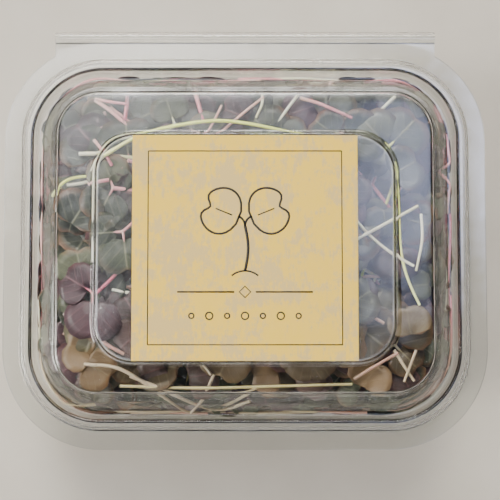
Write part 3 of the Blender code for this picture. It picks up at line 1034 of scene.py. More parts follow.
def fill_tray():
    chance = random.Random(FILL_SEED)
    made = tries = 0
    while made < FILL_COUNT and tries < FILL_TRIES:
        tries += 1
        height = FILL_TOP - (FILL_TOP - FILL_FLOOR) * chance.random() ** 1.25
        across, back = [chance.uniform(-1, 1) * reach * MM for reach in FILL_REACH]
        spot = Vector((across, CENTRE_Y + back, height))
        flat = height > FILL_TOP - PRESSED_DEPTH
        out = math.atan2(spot.y - CENTRE_Y, spot.x) + chance.uniform(-1.3, 1.3)
        if not fits(spot, CROWN_SPARE):
            continue
        blades = [tilted_blade(chance, spot, out, side, flat) for side in (1, -1)]
        if None in blades:
            continue
        points = bent_stem(chance, spot, out, flat, made)
        if not all(fits(point, STEM_SPARE) for point in points):
            continue
        colour, shade = chance.choice(FILL_COLOURS), chance.random()
        radius = chance.uniform(0.36, 0.60) * MM
        add_line(points, colour, radius * 0.85, radius, shade)
        leaf_colour = chance.choice(FILL_LEAVES)
        for base, way, turn, length in blades:
            form = chance.randrange(FORMS)
            BLADES.append(Blade(base, turn.to_euler(), length, leaf_colour, form, chance.random()))
            add_stalk(spot, base, way, colour, shade)
        made += 1
    return made, tries


print("added %d seedlings in %d tries" % fill_tray())
print(len(LINES), "lines,", len(BLADES), "leaves")

# %% [markdown]
# ## Leaves against the walls
#
# Through the clear walls the real tray shows leaves that are pressed flat against them. So a ring of
# leaves follows the tray's outline at several heights. Each is turned to the wall and leans as the wall
# does. Without them, the tray would look full from above and empty from the side.

# %% Press leaves against the walls
WALL_LEAVES = 520
WALL_GAPS = [gap * MM for gap in (0.4, 0.8, 1.3, 1.9, 2.6, 3.4, 4.4, 5.6)]
WALL_LEAN = math.atan2(FOOT[0] - MOUTH[0], MOUTH[1] - FOOT[1])


def outline_place(share, inset, height):
    """A place on the rounded outline at that inset, and the outward direction there."""
    ring = ring_of(FLANGE, inset, height)
    runs = [(b - a).length for a, b in zip(ring, ring[1:] + ring[:1])]
    left = share * sum(runs)
    for i, run in enumerate(runs):
        if left <= run and run > 0:
            break
        left -= run
    start, end = ring[i], ring[(i + 1) % len(ring)]
    along = (end - start).normalized()
    return start + along * left, along.cross(UP).normalized()


def add_leaf_at(chance, middle, turn, length, forms):
    """Adds a leaf by its middle if it fits, and says whether it did."""
    base = middle - turn @ Vector((LEAF_MIDDLE, 0, 0)) * length
    if not leaf_fits(turn, base, length, 0.3 * MM):
        return False
    colour, form = chance.choice(FILL_LEAVES), chance.choice(forms)
    BLADES.append(Blade(base, turn.to_euler(), length, colour, form, chance.random()))
    return True


def dress_walls():
    chance = random.Random(FILL_SEED + 1)
    made = 0
    for number in range(WALL_LEAVES):
        height = (6.5 + 21 * chance.random() ** 0.8) * MM
        share = (number + chance.random()) / WALL_LEAVES
        length = LEAF_LENGTH * chance.uniform(0.55, 1.0)
        spin = Matrix.Rotation(chance.uniform(0, 2 * math.pi), 3, "Z")
        lean = Matrix.Rotation(WALL_LEAN + chance.uniform(-0.08, 0.08), 3, "X")
        for gap in WALL_GAPS:
            middle, outward = outline_place(share, side_inset(height) + gap, height)
            turn = Matrix((UP.cross(outward), UP, outward)).transposed() @ lean @ spin
            if add_leaf_at(chance, middle, turn, length, DOWN_FORMS):
                made += 1
                break
    return made


print("pressed", dress_walls(), "leaves against the walls")

# %% [markdown]
# From above, the strip between the deck and the rim shows greens as well. They lie almost level there, just
# inside the walls, and close that strip all the way round.

# %% Line the mouth with leaves
MOUTH_LEAVES = 300


def line_mouth():
    chance = random.Random(FILL_SEED + 6)
    made = 0
    for number in range(MOUTH_LEAVES):
        height = chance.uniform(18, 36) * MM
        length = LEAF_LENGTH * chance.uniform(0.55, 0.95)
        inset = side_inset(height) + length * chance.uniform(0.55, 0.90)
        middle = outline_place((number + chance.random()) / MOUTH_LEAVES, inset, height)[0]
        leans = [chance.uniform(-0.4, 0.4) for _ in range(2)]
        turn = Euler((*leans, chance.uniform(0, 2 * math.pi))).to_matrix()
        made += add_leaf_at(chance, middle, turn, length, range(FORMS))
    return made


print("laid", line_mouth(), "leaves along the mouth")

# %% [markdown]
# Some stems curl along the wall instead of crossing the tray. They show as pink lines under the channel of
# the lid, all the way round.

# %% Curl stems along the walls
CURLED_STEMS = 44
CURL_COLOURS = ("pink_stem", "pink_stem", "cream_stem")


def curl_stems():
    chance = random.Random(FILL_SEED + 5)
    made = 0
    for number in range(CURLED_STEMS):
        height = (19 + 10 * chance.random() ** 0.6) * MM
        start = chance.random()
        run = chance.uniform(0.05, 0.13)
        gap = chance.uniform(0.8, 2.2) * MM
        points = []
        for step in range(9):
            level = height + math.sin(step * 0.7 + number) * 1.3 * MM
            points.append(outline_place((start + run * step / 8) % 1, side_inset(level) + gap, level)[0])
        if all(fits(point, 0.6 * MM) for point in points):
            add_line(points, chance.choice(CURL_COLOURS), 0.36 * MM, 0.5 * MM, chance.random(), 4)
            made += 1
    return made


print("curled", curl_stems(), "stems along the walls")

# %% [markdown]
# ## The stems that show in the photo
#
# Round the label some stems are easy to recognise: a long yellow-green one that arcs over the label's
# back edge, a tangle of pink ones at the back left, and a bundle that sweeps along the front. Their places
# are read from the photo in pixels and dropped onto a level just under the deck. Near the edge, where the
# domed wall comes down, they follow it.

# %% Stems by their pixels
SHOW_LEVEL = DECK - WALL - 1.3 * MM
LOWEST_SHOWN = 26 * MM
SHOWN_STEMS = (
    ("lime_stem", 0.55, 0.0, ((104, 156), (135, 138), (170, 127), (225, 121), (290, 133), (330, 150))),
    ("cream_stem", 0.50, 0.6, ((90, 172), (105, 155), (120, 146), (140, 138))),
    ("cream_stem", 0.62, 1.2, ((79, 154), (100, 154), (134, 158))),
    ("pink_stem", 0.55, 0.9, ((95, 100), (112, 112), (128, 126), (145, 137))),
    ("pink_stem", 0.60, 1.5, ((128, 88), (127, 104), (125, 120))),
    ("pink_stem", 0.45, 0.5, ((95, 99), (110, 102), (127, 104))),
    ("pink_stem", 0.45, 2.2, ((110, 107), (124, 118), (140, 130))),
    ("pink_stem", 0.42, 2.6, ((108, 120), (124, 122), (138, 128))),
    ("pink_stem", 0.40, 3.0, ((104, 112), (112, 124), (116, 136))),
    ("pink_stem", 0.60, 1.3, ((97, 222), (106, 217), (118, 221))),
    ("pink_stem", 0.50, 1.9, ((100, 128), (118, 126), (142, 136))),
    ("pink_stem", 0.50, 1.0, ((94, 140), (104, 152), (112, 166))),
    ("pink_stem", 0.60, 0.4, ((88, 184), (98, 182), (109, 180))),
    ("cream_stem", 0.42, 0.2, ((95, 262), (95, 220), (96, 175), (100, 160), (112, 142), (134, 136))),
    ("lime_stem", 0.45, 1.7, ((54, 196), (62, 184), (74, 178), (92, 176))),
    ("pink_stem", 0.60, 1.3, ((195, 92), (199, 106), (204, 124))),
    ("cream_stem", 0.60, 1.2, ((64, 313), (80, 325), (98, 335))),
    ("pink_stem", 0.55, 0.9, ((98, 336), (108, 345), (124, 354))),
    ("cream_stem", 0.50, 0.5, ((84, 364), (120, 369), (160, 393), (190, 412), (225, 404), (256, 388))),
    ("cream_stem", 0.50, 1.4, ((191, 413), (204, 396), (214, 374))),
    # This stem along the front stands in for a thin golden line there: a painted highlight.
    ("lime_stem", 0.45, 1.0, ((120, 386), (200, 388), (280, 386), (352, 384))),
    ("cream_stem", 0.50, 1.8, ((130, 376), (170, 392), (215, 409), (250, 400))),
    ("cream_stem", 0.50, 0.5, ((357, 239), (385, 224), (418, 206))),
    ("cream_stem", 0.42, 0.9, ((421, 214), (422, 240), (416, 271))),
    ("pink_stem", 0.50, 0.8, ((354, 379), (375, 366), (398, 353))),
    ("cream_stem", 0.45, 1.3, ((394, 350), (404, 366), (414, 381))),
    ("cream_stem", 0.42, 0.4, ((416, 350), (410, 366), (404, 382))),
    ("pink_stem", 0.50, 1.1, ((300, 98), (320, 104), (352, 118))),
    ("cream_stem", 0.40, 0.6, ((262, 92), (262, 104), (256, 118))),
)


def kept_inside(point, spare):
    """The point, moved towards the tray's middle until it's clear of the walls."""
    inside = point.copy()
    while not room_left(inside, side_inset(inside.z)) > spare:
        inward = Vector((0, CENTRE_Y, inside.z)) - inside
        inside += inward.normalized() * 0.2 * MM
    return inside


def under_the_lid(pixel, level, spare):
    """The highest place on the line of sight that is clear of the lid's deck and domed wall."""
    point = at_pixel(pixel, level)
    while point.z > LOWEST_SHOWN and not room_left(point, side_inset(point.z)) > spare:
        point = at_pixel(pixel, point.z - 0.2 * MM)
    return kept_inside(point, spare)


def lay_shown_stems():
    looks = random.Random(FILL_SEED + 2)
    for colour, radius, depth, pixels in SHOWN_STEMS:
        points = [under_the_lid(pixel, SHOW_LEVEL - depth * MM, MM) for pixel in pixels]
        add_line(points, colour, radius * MM, radius * 0.9 * MM, looks.random(), 6)
    return len(SHOWN_STEMS)


print("laid", lay_shown_stems(), "stems by their pixels")

# %% [markdown]
# ## The leaves that show in the photo
#
# The lid presses the topmost leaves flat, so they show as large soft ovals: four at the left, some olive
# ones at the front left and a tan one at the front right. Each is given by the pixel of its
# middle, its size, the way it points and its colour.

# %% Leaves by their pixels
SHOWN_LEAF_SHARE = 0.78
SHOWN_LEAVES = (
    ((74, 138), 13.5, 120, "green_leaf", 1.6),
    ((62, 202), 14.0, 60, "green_leaf", 1.0),
    ((118, 206), 12.5, 250, "green_leaf", 2.6),
    ((150, 112), 12.0, 30, "green_leaf", 2.4),
    ((112, 150), 10.0, 300, "purple_leaf", 4.0),
    ((70, 262), 13.0, 100, "green_leaf", 2.0),
    ((112, 262), 12.0, 70, "purple_leaf", 3.0),
    ((76, 310), 12.5, 220, "green_leaf", 3.4),
    ((116, 308), 11.0, 20, "purple_leaf", 2.2),
    ((72, 350), 12.0, 160, "green_leaf", 2.0),
    ((102, 372), 12.0, 330, "green_leaf", 1.8),
    ((150, 372), 11.0, 200, "purple_leaf", 2.6),
    ((205, 378), 12.0, 10, "purple_leaf", 3.4),
    ((262, 374), 11.0, 190, "green_leaf", 3.0),
    ((318, 378), 12.0, 350, "purple_leaf", 2.4),
    ((372, 372), 12.0, 60, "green_leaf", 3.0),
    ((408, 318), 11.5, 100, "green_leaf", 1.6),
    ((398, 268), 12.5, 280, "purple_leaf", 3.0),
    ((384, 218), 12.0, 90, "green_leaf", 2.6),
    ((408, 166), 12.5, 30, "green_leaf", 2.0),
    ((376, 142), 12.0, 170, "green_leaf", 3.2),
    ((352, 104), 11.5, 0, "green_leaf", 2.0),
    ((298, 112), 12.0, 200, "purple_leaf", 3.4),
    ((232, 106), 12.0, 160, "purple_leaf", 2.8),
    ((196, 116), 10.0, 60, "green_leaf", 4.0),
)


def lay_shown_leaves():
    looks = random.Random(FILL_SEED + 3)
    for pixel, length, lean, colour, depth in SHOWN_LEAVES:
        yaw = math.radians(lean)
        length *= SHOWN_LEAF_SHARE
        middle = kept_inside(at_pixel(pixel, SHOW_LEVEL - depth * MM), length * 0.72 * MM)
        base = middle - heading_vector(yaw) * length * MM * LEAF_MIDDLE
        turn = Euler((looks.uniform(-0.05, 0.05), looks.uniform(-0.05, 0.05), yaw))
        BLADES.append(Blade(base, turn, length * MM, colour, looks.randrange(FORMS), looks.random()))
    return len(SHOWN_LEAVES)


print("laid", lay_shown_leaves(), "leaves by their pixels")

# %% [markdown]
# ## One seed leaf
#
# A radish seed leaf is broad and notched at its tip. Its outline is a distance from its base over the
# angle. Its surface is dished, folded a little along the midrib and waved at the rim. Eight such forms
# are enough for a whole tray, because each leaf is turned and sized on its own.

# %% Shape the leaf forms
LEAF_SLIMNESS = 0.88
LEAF_ROUNDNESS = 0.38
LEAF_NOTCH_WIDTH = 0.26
LEAF_SPANS = 12
LEAF_RINGS = 3
LEAF_SHEET = 0.035


def leaf_reach(angle, notch):
    open_share = max(0, math.cos(LEAF_SLIMNESS * angle)) ** LEAF_ROUNDNESS
    return open_share * (1 - notch * math.exp(-(angle / LEAF_NOTCH_WIDTH) ** 2))


def make_leaf_form(number, chance):
    """A leaf of unit length that points along +X, with a UV map: along it, and across it."""
    dish = chance.uniform(0.05, 0.12) * (1 if number in UP_FORMS else -1)
    fold = chance.uniform(0.02, 0.07)
    wave = chance.uniform(0.01, 0.03)
    phase = chance.uniform(0, 6)
    notch = chance.uniform(0.14, 0.24)
    widest = math.pi / 2 / LEAF_SLIMNESS * 0.97
    bm = bmesh.new()
    uv = bm.loops.layers.uv.new("UVMap")
    rim = bm.verts.layers.float.new("rim")
    rows = []
    for ring in range(1, LEAF_RINGS + 1):
        share = (ring / LEAF_RINGS) ** 0.8
        row = []
        for i in range(LEAF_SPANS + 1):
            angle = widest * (2 * i / LEAF_SPANS - 1)
            reach = share * leaf_reach(angle, notch * share ** 3)
            x, y = reach * math.cos(angle), reach * math.sin(angle)
            height = dish * (((x - 0.5) ** 2 + y * y) * 2.4 - 0.6) + fold * abs(y)
            height += wave * math.sin(4 * angle + phase) * share ** 2
            row.append(bm.verts.new((x, y, height)))
            row[-1][rim] = share if abs(angle) < 0.9 * widest else 1.0
        rows.append(row)
    foot = bm.verts.new((0, 0, 0))
    faces = [bm.faces.new((foot, rows[0][i], rows[0][i + 1])) for i in range(LEAF_SPANS)]
    faces += add_quads(bm, rows)
    for face in faces:
        for loop in face.loops:
            loop[uv].uv = (loop.vert.co.x, loop.vert.co.y + 0.5)
    form = add_piece(f"leaf_form_{number}", to_mesh(bm, "leaf_form", 80))
    return thicken(form, LEAF_SHEET, 0)


form_chance = random.Random(3)
FORM_COLLECTION = bpy.data.collections.new("leaf_forms")
for number in range(FORMS):
    form = make_leaf_form(number, form_chance)
    bpy.context.scene.collection.objects.unlink(form)
    FORM_COLLECTION.objects.link(form)
print(FORMS, "leaf forms of", len(form.data.polygons), "faces each")

# %% [markdown]
# ## Stem and leaf materials
#
# A radish stem is wet, slightly see-through and streaked. It's white near the root and takes its colour
# towards the leaves. The meshes carry numbers for that: how far along the stem a point is, the stem's own
# shade, and how much front tint it takes. A leaf is satin, darker between its veins and paler along the
# midrib, and its colour runs from olive to deep purple from one leaf to the next. Some leaves turn rusty at
# the rim. The leaf forms carry the distance from the leaf's base to its rim for that, as a number on every
# point. The leaves near the front are browner than the others, as in the photo. The stems there turn darker
# and browner, which is painted shade.

# %% Materials of the greens
# Stems towards the front are blended into this darker brown: painted shade.
SHADED_STEM_COLOUR = (0.34, 0.24, 0.15)


def make_stem_material(name, root, middle, crown):
    look = Look(name, {
        "Roughness": 0.32, "Subsurface Weight": 0.25, "Subsurface Radius": (0.0012, 0.0008, 0.0005),
        "Subsurface Scale": 1.0,
    })
    streaks = look.noise(700, 3, 0.6)
    colour = look.steps(look.attribute("along"), ((0.0, root), (0.45, middle), (1.0, crown)))
    pale = look.blend(look.span(look.attribute("shade"), 0.2, 1.0, 0.0, 0.45), colour, root)
    before_front_tint = look.blend(look.span(streaks, 0.35, 0.8, 0.0, 0.35), pale, middle)
    # Towards the front the stem colour turns darker and browner: painted shade.
    look.paint(look.blend(look.attribute("dry"), before_front_tint, SHADED_STEM_COLOUR))
    look.bump(streaks, 0.2, 0.0002)
    return look.material


def make_leaf_material(name, dark, middle, light, rib, rust, dry):
    look = Look(name, {"Roughness": 0.42})
    place = look.node("ShaderNodeUVMap", uv_map="UVMap")
    along = look.node("ShaderNodeSeparateXYZ", {"Vector": place}, "X")
    off_rib = look.math("ABSOLUTE", look.math("SUBTRACT", along.node.outputs["Y"], 0.5))
    midrib = look.span(off_rib, 0.0, 0.045, 1.0, 0.0)
    slant = look.node("ShaderNodeCombineXYZ", {"X": look.math("MULTIPLY_ADD", off_rib, -0.9, along)})
    waves = {"Vector": slant, "Scale": 1.15, "Distortion": 2.0, "Detail": 2.0, "Detail Scale": 1.5}
    veins = look.span(look.node("ShaderNodeTexWave", waves, "Fac"), 0.90, 1.0, 0.0, 0.38)
    lines = look.math("MAXIMUM", midrib, veins)
    shade = look.span(look.attribute("shade"), 0.0, 1.0, 0.0, 0.6)
    tone = look.math("MULTIPLY_ADD", look.noise(220, 4, 0.6), 0.5, shade)
    colour = look.steps(tone, ((0.15, dark), (0.5, middle), (0.9, light)))
    ribbed = look.blend(look.span(lines, 0.0, 1.0, 0.0, 0.75), colour, rib)
    near_rim = look.span(look.attribute("rim"), 0.80, 1.0)
    patches = look.span(look.noise(70, 2), 0.46, 0.66, 0.0, 0.7)
    rimmed = look.blend(look.math("MULTIPLY", near_rim, patches), ribbed, rust)
    # Towards the front the leaf colour is blended into a browner one.
    look.paint(look.blend(look.attribute("dry"), rimmed, dry))
    look.bump(lines, 0.3, 0.0003)
    return look.material


STEM_PAINTS = {
    "pink_stem": ((0.66, 0.46, 0.38), (0.62, 0.22, 0.26), (0.46, 0.10, 0.17)),
    "cream_stem": ((0.74, 0.71, 0.58), (0.66, 0.63, 0.44), (0.5, 0.5, 0.26)),
    "lime_stem": ((0.76, 0.76, 0.36), (0.66, 0.72, 0.10), (0.44, 0.54, 0.06)),
}
# After the rust colour comes the browner colour that the leaves take towards the front.
LEAF_PAINTS = {
    "green_leaf": (
        (0.005, 0.008, 0.005), (0.019, 0.026, 0.014), (0.072, 0.078, 0.044), (0.18, 0.18, 0.11),
        (0.17, 0.065, 0.025), (0.170, 0.095, 0.040)),
    "purple_leaf": (
        (0.006, 0.003, 0.005), (0.024, 0.012, 0.017), (0.07, 0.036, 0.044), (0.17, 0.08, 0.09),
        (0.12, 0.04, 0.04), (0.090, 0.048, 0.026)),
}
STEM_MATERIALS = {name: make_stem_material(name, *paints) for name, paints in STEM_PAINTS.items()}
LEAF_MATERIALS = {name: make_leaf_material(name, *paints) for name, paints in LEAF_PAINTS.items()}
print("made", len(STEM_MATERIALS), "stem and", len(LEAF_MATERIALS), "leaf materials")

# %% [markdown]
# ## A Geometry Nodes tree for stems
#
# Each stem starts as a bare line of points, which carry a radius, a shade and their place along the stem.
# The tree turns the lines into curves, runs a small circle along them and caps the ends. The numbers on
# the points travel with the curve onto the tube, so the material can read them.

# %% Grow tubes with Geometry Nodes


class Tree(Graph):
    """A Geometry Nodes tree. Its named inputs are a mesh, then what is listed, each with its kind."""

    def __init__(self, name, kinds):
        super().__init__(bpy.data.node_groups.new(name, "GeometryNodeTree"))
        sockets = self.tree.interface
        sockets.new_socket("Geometry", in_out="OUTPUT", socket_type="NodeSocketGeometry")
        self.keys = {}
        for key, kind in {"Geometry": "Geometry", **kinds}.items():
            socket = sockets.new_socket(key, in_out="INPUT", socket_type="NodeSocket" + kind)
            self.keys[key] = socket.identifier
        self.given = self.tree.nodes.new("NodeGroupInput").outputs
        self.sink = self.tree.nodes.new("NodeGroupOutput")

    def attribute(self, name, kind="FLOAT"):
        return self.node("GeometryNodeInputNamedAttribute", {"Name": name}, "Attribute", data_type=kind)

    def finish(self, geometry):
        real = self.node("GeometryNodeRealizeInstances", {"Geometry": geometry})
        inputs = {"Geometry": real, "Material": self.given["Material"]}
        self.put(self.sink, {"Geometry": self.node("GeometryNodeSetMaterial", inputs)})
        return self

    def apply(self, piece, values):
        """Runs the tree on a piece once and keeps the result as its plain mesh."""
        modifier = piece.modifiers.new(self.tree.name, "NODES")
        modifier.node_group = self.tree
        for name, value in values.items():
            modifier[self.keys[name]] = value
        return bake(piece)


def make_stem_tree():
    tree = Tree("stem_tubes", {"Sides": "Int", "Material": "Material"})
    curve = tree.node("GeometryNodeMeshToCurve", {"Mesh": tree.given["Geometry"]})
    circle = tree.node("GeometryNodeCurvePrimitiveCircle", {"Resolution": tree.given["Sides"], "Radius": 1.0})
    tube = tree.node("GeometryNodeCurveToMesh", {
        "Curve": curve, "Profile Curve": circle, "Scale": tree.attribute("radius"), "Fill Caps": True,
    })
    return tree.finish(tree.node("GeometryNodeSetShadeSmooth", {"Geometry": tube}))


STEM_TREE = make_stem_tree()
print("stem tree has the inputs", list(STEM_TREE.keys))

# %% Turn the lines into stems
STEM_SIDES = 8
# How strongly the stems at the front take the painted shade.
STEM_FRONT_SHADE = 0.75
FRONT_START = 18 * MM
FRONT_RUN = 14 * MM


def store(mesh, kind, **columns):
    """Writes one number or vector on each point of a mesh, under each name."""
    key = "vector" if kind == "FLOAT_VECTOR" else "value"
    for name, values in columns.items():
        numbers = np.array(values, np.int32 if kind == "INT" else float)
        mesh.attributes.new(name, kind, "POINT").data.foreach_set(key, numbers.ravel())


def clamp(value):
    return min(1, max(0, value))


def frontness(point):
    """From 0 at the tray's middle to 1 at its front."""
    return clamp((CENTRE_Y - FRONT_START - point.y) / FRONT_RUN)


def make_stems(colour):
    places, edges, radii, along, shades = [], [], [], [], []
    for line in LINES:
        if line.colour != colour:
            continue
        for i, point in enumerate(line.points):
            if i:
                edges.append((len(places) - 1, len(places)))
            share = i / (len(line.points) - 1)
            places.append(point)
            radii.append(line.radius + (line.tip_radius - line.radius) * share)
            along.append(share)
            shades.append(line.shade)
    mesh = bpy.data.meshes.new(colour + "s")
    mesh.from_pydata(places, edges, [])
    # Painted shade: the stems darken and brown towards the front.
    dry = [STEM_FRONT_SHADE * frontness(place) for place in places]
    store(mesh, "FLOAT", radius=radii, along=along, shade=shades, dry=dry)
    stems = add_piece(colour + "s", mesh)
    STEM_TREE.apply(stems, {"Sides": STEM_SIDES, "Material": STEM_MATERIALS[colour]})
    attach(stems, "tray")
    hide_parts(*CAD_GREENS["stems"][colour])
    return tell(stems)


for colour in STEM_MATERIALS:
    make_stems(colour)

# %% [markdown]
# ## A tree for leaves
#
# The leaves are points that carry a turn, a size, a form and a shade. The tree puts the chosen leaf form on
# each point. Instances cost almost nothing while the tree runs, and become real faces at its end.

# %% Turn the places into leaves


def make_leaf_tree():
    tree = Tree("leaf_places", {"Forms": "Collection", "Material": "Material"})
    forms = tree.node("GeometryNodeCollectionInfo", {
        "Collection": tree.given["Forms"], "Separate Children": True, "Reset Children": True,
    })
    turn = tree.node("FunctionNodeEulerToRotation", {"Euler": tree.attribute("turn", "FLOAT_VECTOR")})
    return tree.finish(tree.node("GeometryNodeInstanceOnPoints", {
        "Points": tree.given["Geometry"], "Instance": forms, "Pick Instance": True,
        "Instance Index": tree.attribute("form", "INT"), "Rotation": turn, "Scale": tree.attribute("size"),
    }))


LEAF_TREE = make_leaf_tree()


def leaf_browning(blade):
    """Only leaves at the front and near the lid turn browner, and some less than others."""
    near_the_lid = clamp((blade.base.z - 33 * MM) / (5 * MM))
    return frontness(blade.base) * near_the_lid * (0.42 + 0.36 * blade.shade)


def make_leaves(colour):
    blades = [blade for blade in BLADES if blade.colour == colour]
    mesh = bpy.data.meshes.new(colour)
    mesh.from_pydata([blade.base for blade in blades], [], [])
    store(mesh, "FLOAT_VECTOR", turn=[tuple(blade.turn) for blade in blades])
    store(mesh, "FLOAT", size=[blade.length for blade in blades], shade=[blade.shade for blade in blades])
    store(mesh, "FLOAT", dry=[leaf_browning(blade) for blade in blades])
    store(mesh, "INT", form=[blade.form for blade in blades])
    leaves = add_piece(colour.replace("leaf", "leaves"), mesh)
    LEAF_TREE.apply(leaves, {"Forms": FORM_COLLECTION, "Material": LEAF_MATERIALS[colour]})
    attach(leaves, "tray")
    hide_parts(*CAD_GREENS["leaves"][colour])
    return tell(leaves)


for colour in LEAF_MATERIALS:
    make_leaves(colour)
for form in list(FORM_COLLECTION.objects):
    bpy.data.objects.remove(form)
bpy.data.collections.remove(FORM_COLLECTION)

# %% [markdown]
# ## Mist under the lid
#
# Fresh greens breathe out water, and it settles on the cold lid as a grey mist and as droplets. The mist
# is one thin skin just under the deck and the panel. A noise decides where it lies thick, and
# everywhere else it lets light straight through. The skin is thicker on the back wall, and a white band of it
# on the panel's sloped rim is a painted highlight, while the other walls and the deck's front stay dry. So
# the skin carries a number for how thick and white each part of it is. A real volume of fog would be slow and
# would look no better.

# %% Breathe on the lid
MIST_GAP = 0.06 * MM
# A white band of mist on the panel's sloped rim: a painted highlight.
PANEL_HIGHLIGHT = 0.30
WALL_DRY = 0.07
FRONT_DRY = 0.065
WALL_RINGS = 4
DECK_RINGS = (4, 5)
look = Look("water_mist", {"Base Color": (0.86, 0.88, 0.95, 1), "Roughness": 0.6})
clouds = look.noise(45, 4, 0.6)
grains = look.span(look.noise(900, 2), 0.30, 0.70, 0.35, 1.0)
thin = look.math("MULTIPLY", look.span(clouds, 0.38, 0.72, 0.10, 1.0), grains)
# Where the amount is high the skin lies thick and white: on the back wall, and on the panel's rim as a
# painted highlight.
patchy = look.math("MULTIPLY", look.attribute("wet"), look.span(clouds, 0.40, 0.62, 0.35, 1.15))
cover = look.math("MULTIPLY_ADD", thin, 0.09, patchy)
look.show(cover, look.node("ShaderNodeBsdfTransparent"), look.shader.outputs["BSDF"])
MIST_AND_HIGHLIGHT_MATERIAL = look.material


def mist_and_highlight_at(number, ring_amount, place):
    """Back wall: its ring's amount. Other walls and the deck's front: clear. Panel rim: a painted highlight.
    """
    if number < WALL_RINGS:
        behind = clamp((place.y - CENTRE_Y) / (0.36 * FLANGE_DEPTH)) ** 8
        return ring_amount * behind - (1 - behind) * WALL_DRY
    if number in DECK_RINGS:
        return -FRONT_DRY * clamp((CENTRE_Y - 8 * MM - place.y) / (25 * MM))
    return ring_amount


def make_mist():
    under = WALL + MIST_GAP
    rings = (
        (FLANGE, 13.6 * MM, DECK - 8.4 * MM, 0.5),
        (FLANGE, 16.15 * MM, DECK - 2.2 * MM - under * 0.5, 0.7),
        (FLANGE, 16.7 * MM, DECK - 0.9 * MM - under * 0.8, 0.6),
        (FLANGE, 17.35 * MM, DECK - 0.25 * MM - under, 0.2),
        (FLANGE, 18.3 * MM, DECK - under, 0.0),
        (PANEL, -1.1 * MM, DECK - under, 0.0),
        # These two rings paint a highlight on the panel's sloped rim.
        (PANEL, -0.4 * MM, DECK + 1.1 * MM - under, PANEL_HIGHLIGHT),
        (PANEL, 0.1 * MM, PANEL_TOP - 0.4 * MM - under, PANEL_HIGHLIGHT),
        (PANEL, 0.6 * MM, PANEL_TOP - under, 0.0),
    )
    bm = bmesh.new()
    wet = bm.verts.layers.float.new("wet")
    loops = []
    for number, (outline, inset, height, ring_amount) in enumerate(rings):
        loops.append([bm.verts.new(point) for point in ring_of(outline, inset + under, height)])
        for vert in loops[-1]:
            vert[wet] = mist_and_highlight_at(number, ring_amount, vert.co)
    for outer, inner in zip(loops, loops[1:]):
        for i in range(len(outer)):
            bm.faces.new((outer[i - 1], outer[i], inner[i], inner[i - 1]))
    bm.faces.new(loops[-1])
    mist = add_piece("lid_mist", to_mesh(bm, "lid_mist", 60), MIST_AND_HIGHLIGHT_MATERIAL)
    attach(mist, "lid")
    return tell(mist)


MIST = make_mist()

# %% [markdown]
# ## Droplets
#
# Droplets hang on the lid's underside, small and close together. Geometry Nodes scatter points over a
# copy of the mist's skin with a fixed seed, and put a flattened bead on each.

# %% Hang droplets under the lid
look = Look("water", {"Base Color": (1, 1, 1, 1), "IOR": 1.33, "Transmission Weight": 1.0})
look.put(look.shader, {"Roughness": look.span(look.noise(1200, 2), 0.3, 0.7, 0.0, 0.04)})
look.pass_shadow_rays()
WATER = look.material


def make_droplet_tree():
    tree = Tree("droplets", {
        "Droplets per square metre": "Float", "Smallest": "Float", "Largest": "Float", "Seed": "Int",
        "Material": "Material",
    })
    seed = tree.given["Seed"]
    points = tree.node("GeometryNodeDistributePointsOnFaces", {
        "Mesh": tree.given["Geometry"], "Density": tree.given["Droplets per square metre"], "Seed": seed,
    })
    bead = tree.node("GeometryNodeMeshIcoSphere", {"Radius": 1.0, "Subdivisions": 2})
    limits = {2: tree.given["Smallest"], 3: tree.given["Largest"], "Seed": seed}
    size = tree.node("FunctionNodeRandomValue", limits, 1, data_type="FLOAT")
    flat = tree.node("ShaderNodeCombineXYZ", {"X": 1.0, "Y": 1.0, "Z": 0.45})
    scale = tree.node("ShaderNodeVectorMath", {"Vector": flat, "Scale": size}, operation="SCALE")
    placed = tree.node("GeometryNodeInstanceOnPoints", {"Points": points, "Instance": bead, "Scale": scale})
    return tree.finish(tree.node("GeometryNodeSetShadeSmooth", {"Geometry": placed}))


def make_droplets():
    droplets = add_piece("droplets", MIST.data.copy())
    sizes = {
        "Droplets per square metre": 30000.0, "Smallest": 0.08 * MM, "Largest": 0.36 * MM,
        "Seed": 5, "Material": WATER,
    }
    make_droplet_tree().apply(droplets, sizes)
    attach(droplets, "lid")
    return tell(droplets)


make_droplets()

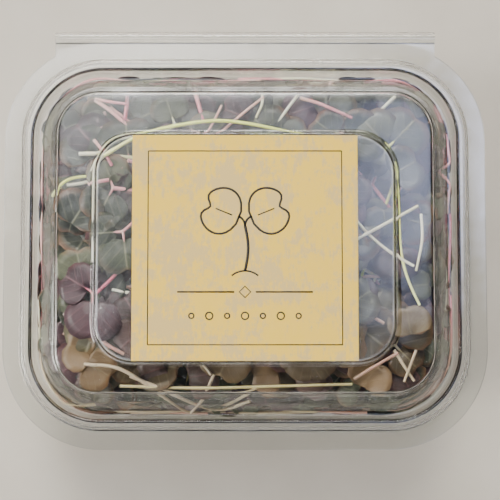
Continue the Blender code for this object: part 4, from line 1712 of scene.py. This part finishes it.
# %% [markdown]
# ## Seed coats
#
# Some seedlings still carry the brown coat of their seed, and loose coats stick to the wet walls. A coat
# is a small split shell. A lemon-shaped half shell, with a wall and a few turns, is enough at less than 3 mm.

# %% Scatter the seed coats
COAT_COUNT = 46
COAT_LENGTH = 2.7 * MM
COAT_WALL = 0.18 * MM
COAT_SPARE = 1.6 * MM
COAT_STEPS = 6
COAT_PIXELS = ((438, 195), (446, 285), (448, 308), (452, 326), (120, 88), (300, 84))
look = Look("seed_coat", {"Roughness": 0.55})
mottle = look.noise(900, 4, 0.6)
steps = ((0.3, (0.020, 0.010, 0.006)), (0.55, (0.075, 0.036, 0.018)), (0.8, (0.16, 0.085, 0.045)))
look.paint(look.steps(mottle, steps))
look.bump(mottle, 0.4, 0.0002)
COAT_MATERIAL = look.material


def coat_shell(bm, place, turn, length):
    """Half a lemon, open below, added to the mesh."""
    rows = []
    for i in range(COAT_STEPS + 1):
        along = -1 + 2 * i / COAT_STEPS
        radius = 0.36 * math.sqrt(max(0, 1 - along * along)) + 0.02
        row = []
        for k in range(COAT_STEPS + 1):
            around = math.pi * 1.15 * (k / COAT_STEPS - 0.5)
            point = Vector((along * 0.5, radius * math.sin(around), radius * math.cos(around)))
            row.append(bm.verts.new(place + turn @ point * length))
        rows.append(row)
    add_quads(bm, rows)


def scatter_coats():
    chance = random.Random(FILL_SEED + 4)
    spots = [under_the_lid(pixel, SHOW_LEVEL, 1.5 * MM) for pixel in COAT_PIXELS]
    while len(spots) < COAT_COUNT:
        height = chance.uniform(4, 40) * MM
        spot = Vector((chance.uniform(-62, 62) * MM, CENTRE_Y + chance.uniform(-50, 50) * MM, height))
        if fits(spot, COAT_SPARE):
            spots.append(spot)
    bm = bmesh.new()
    for spot in spots:
        turn = Euler([chance.uniform(0, 6.3) for _ in range(3)]).to_matrix()
        coat_shell(bm, spot, turn, COAT_LENGTH * chance.uniform(0.75, 1.15))
    coats = add_piece("seed_coats", to_mesh(bm, "seed_coats", 60), COAT_MATERIAL)
    thicken(coats, COAT_WALL, -1)
    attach(coats, "tray")
    return tell(coats)


scatter_coats()
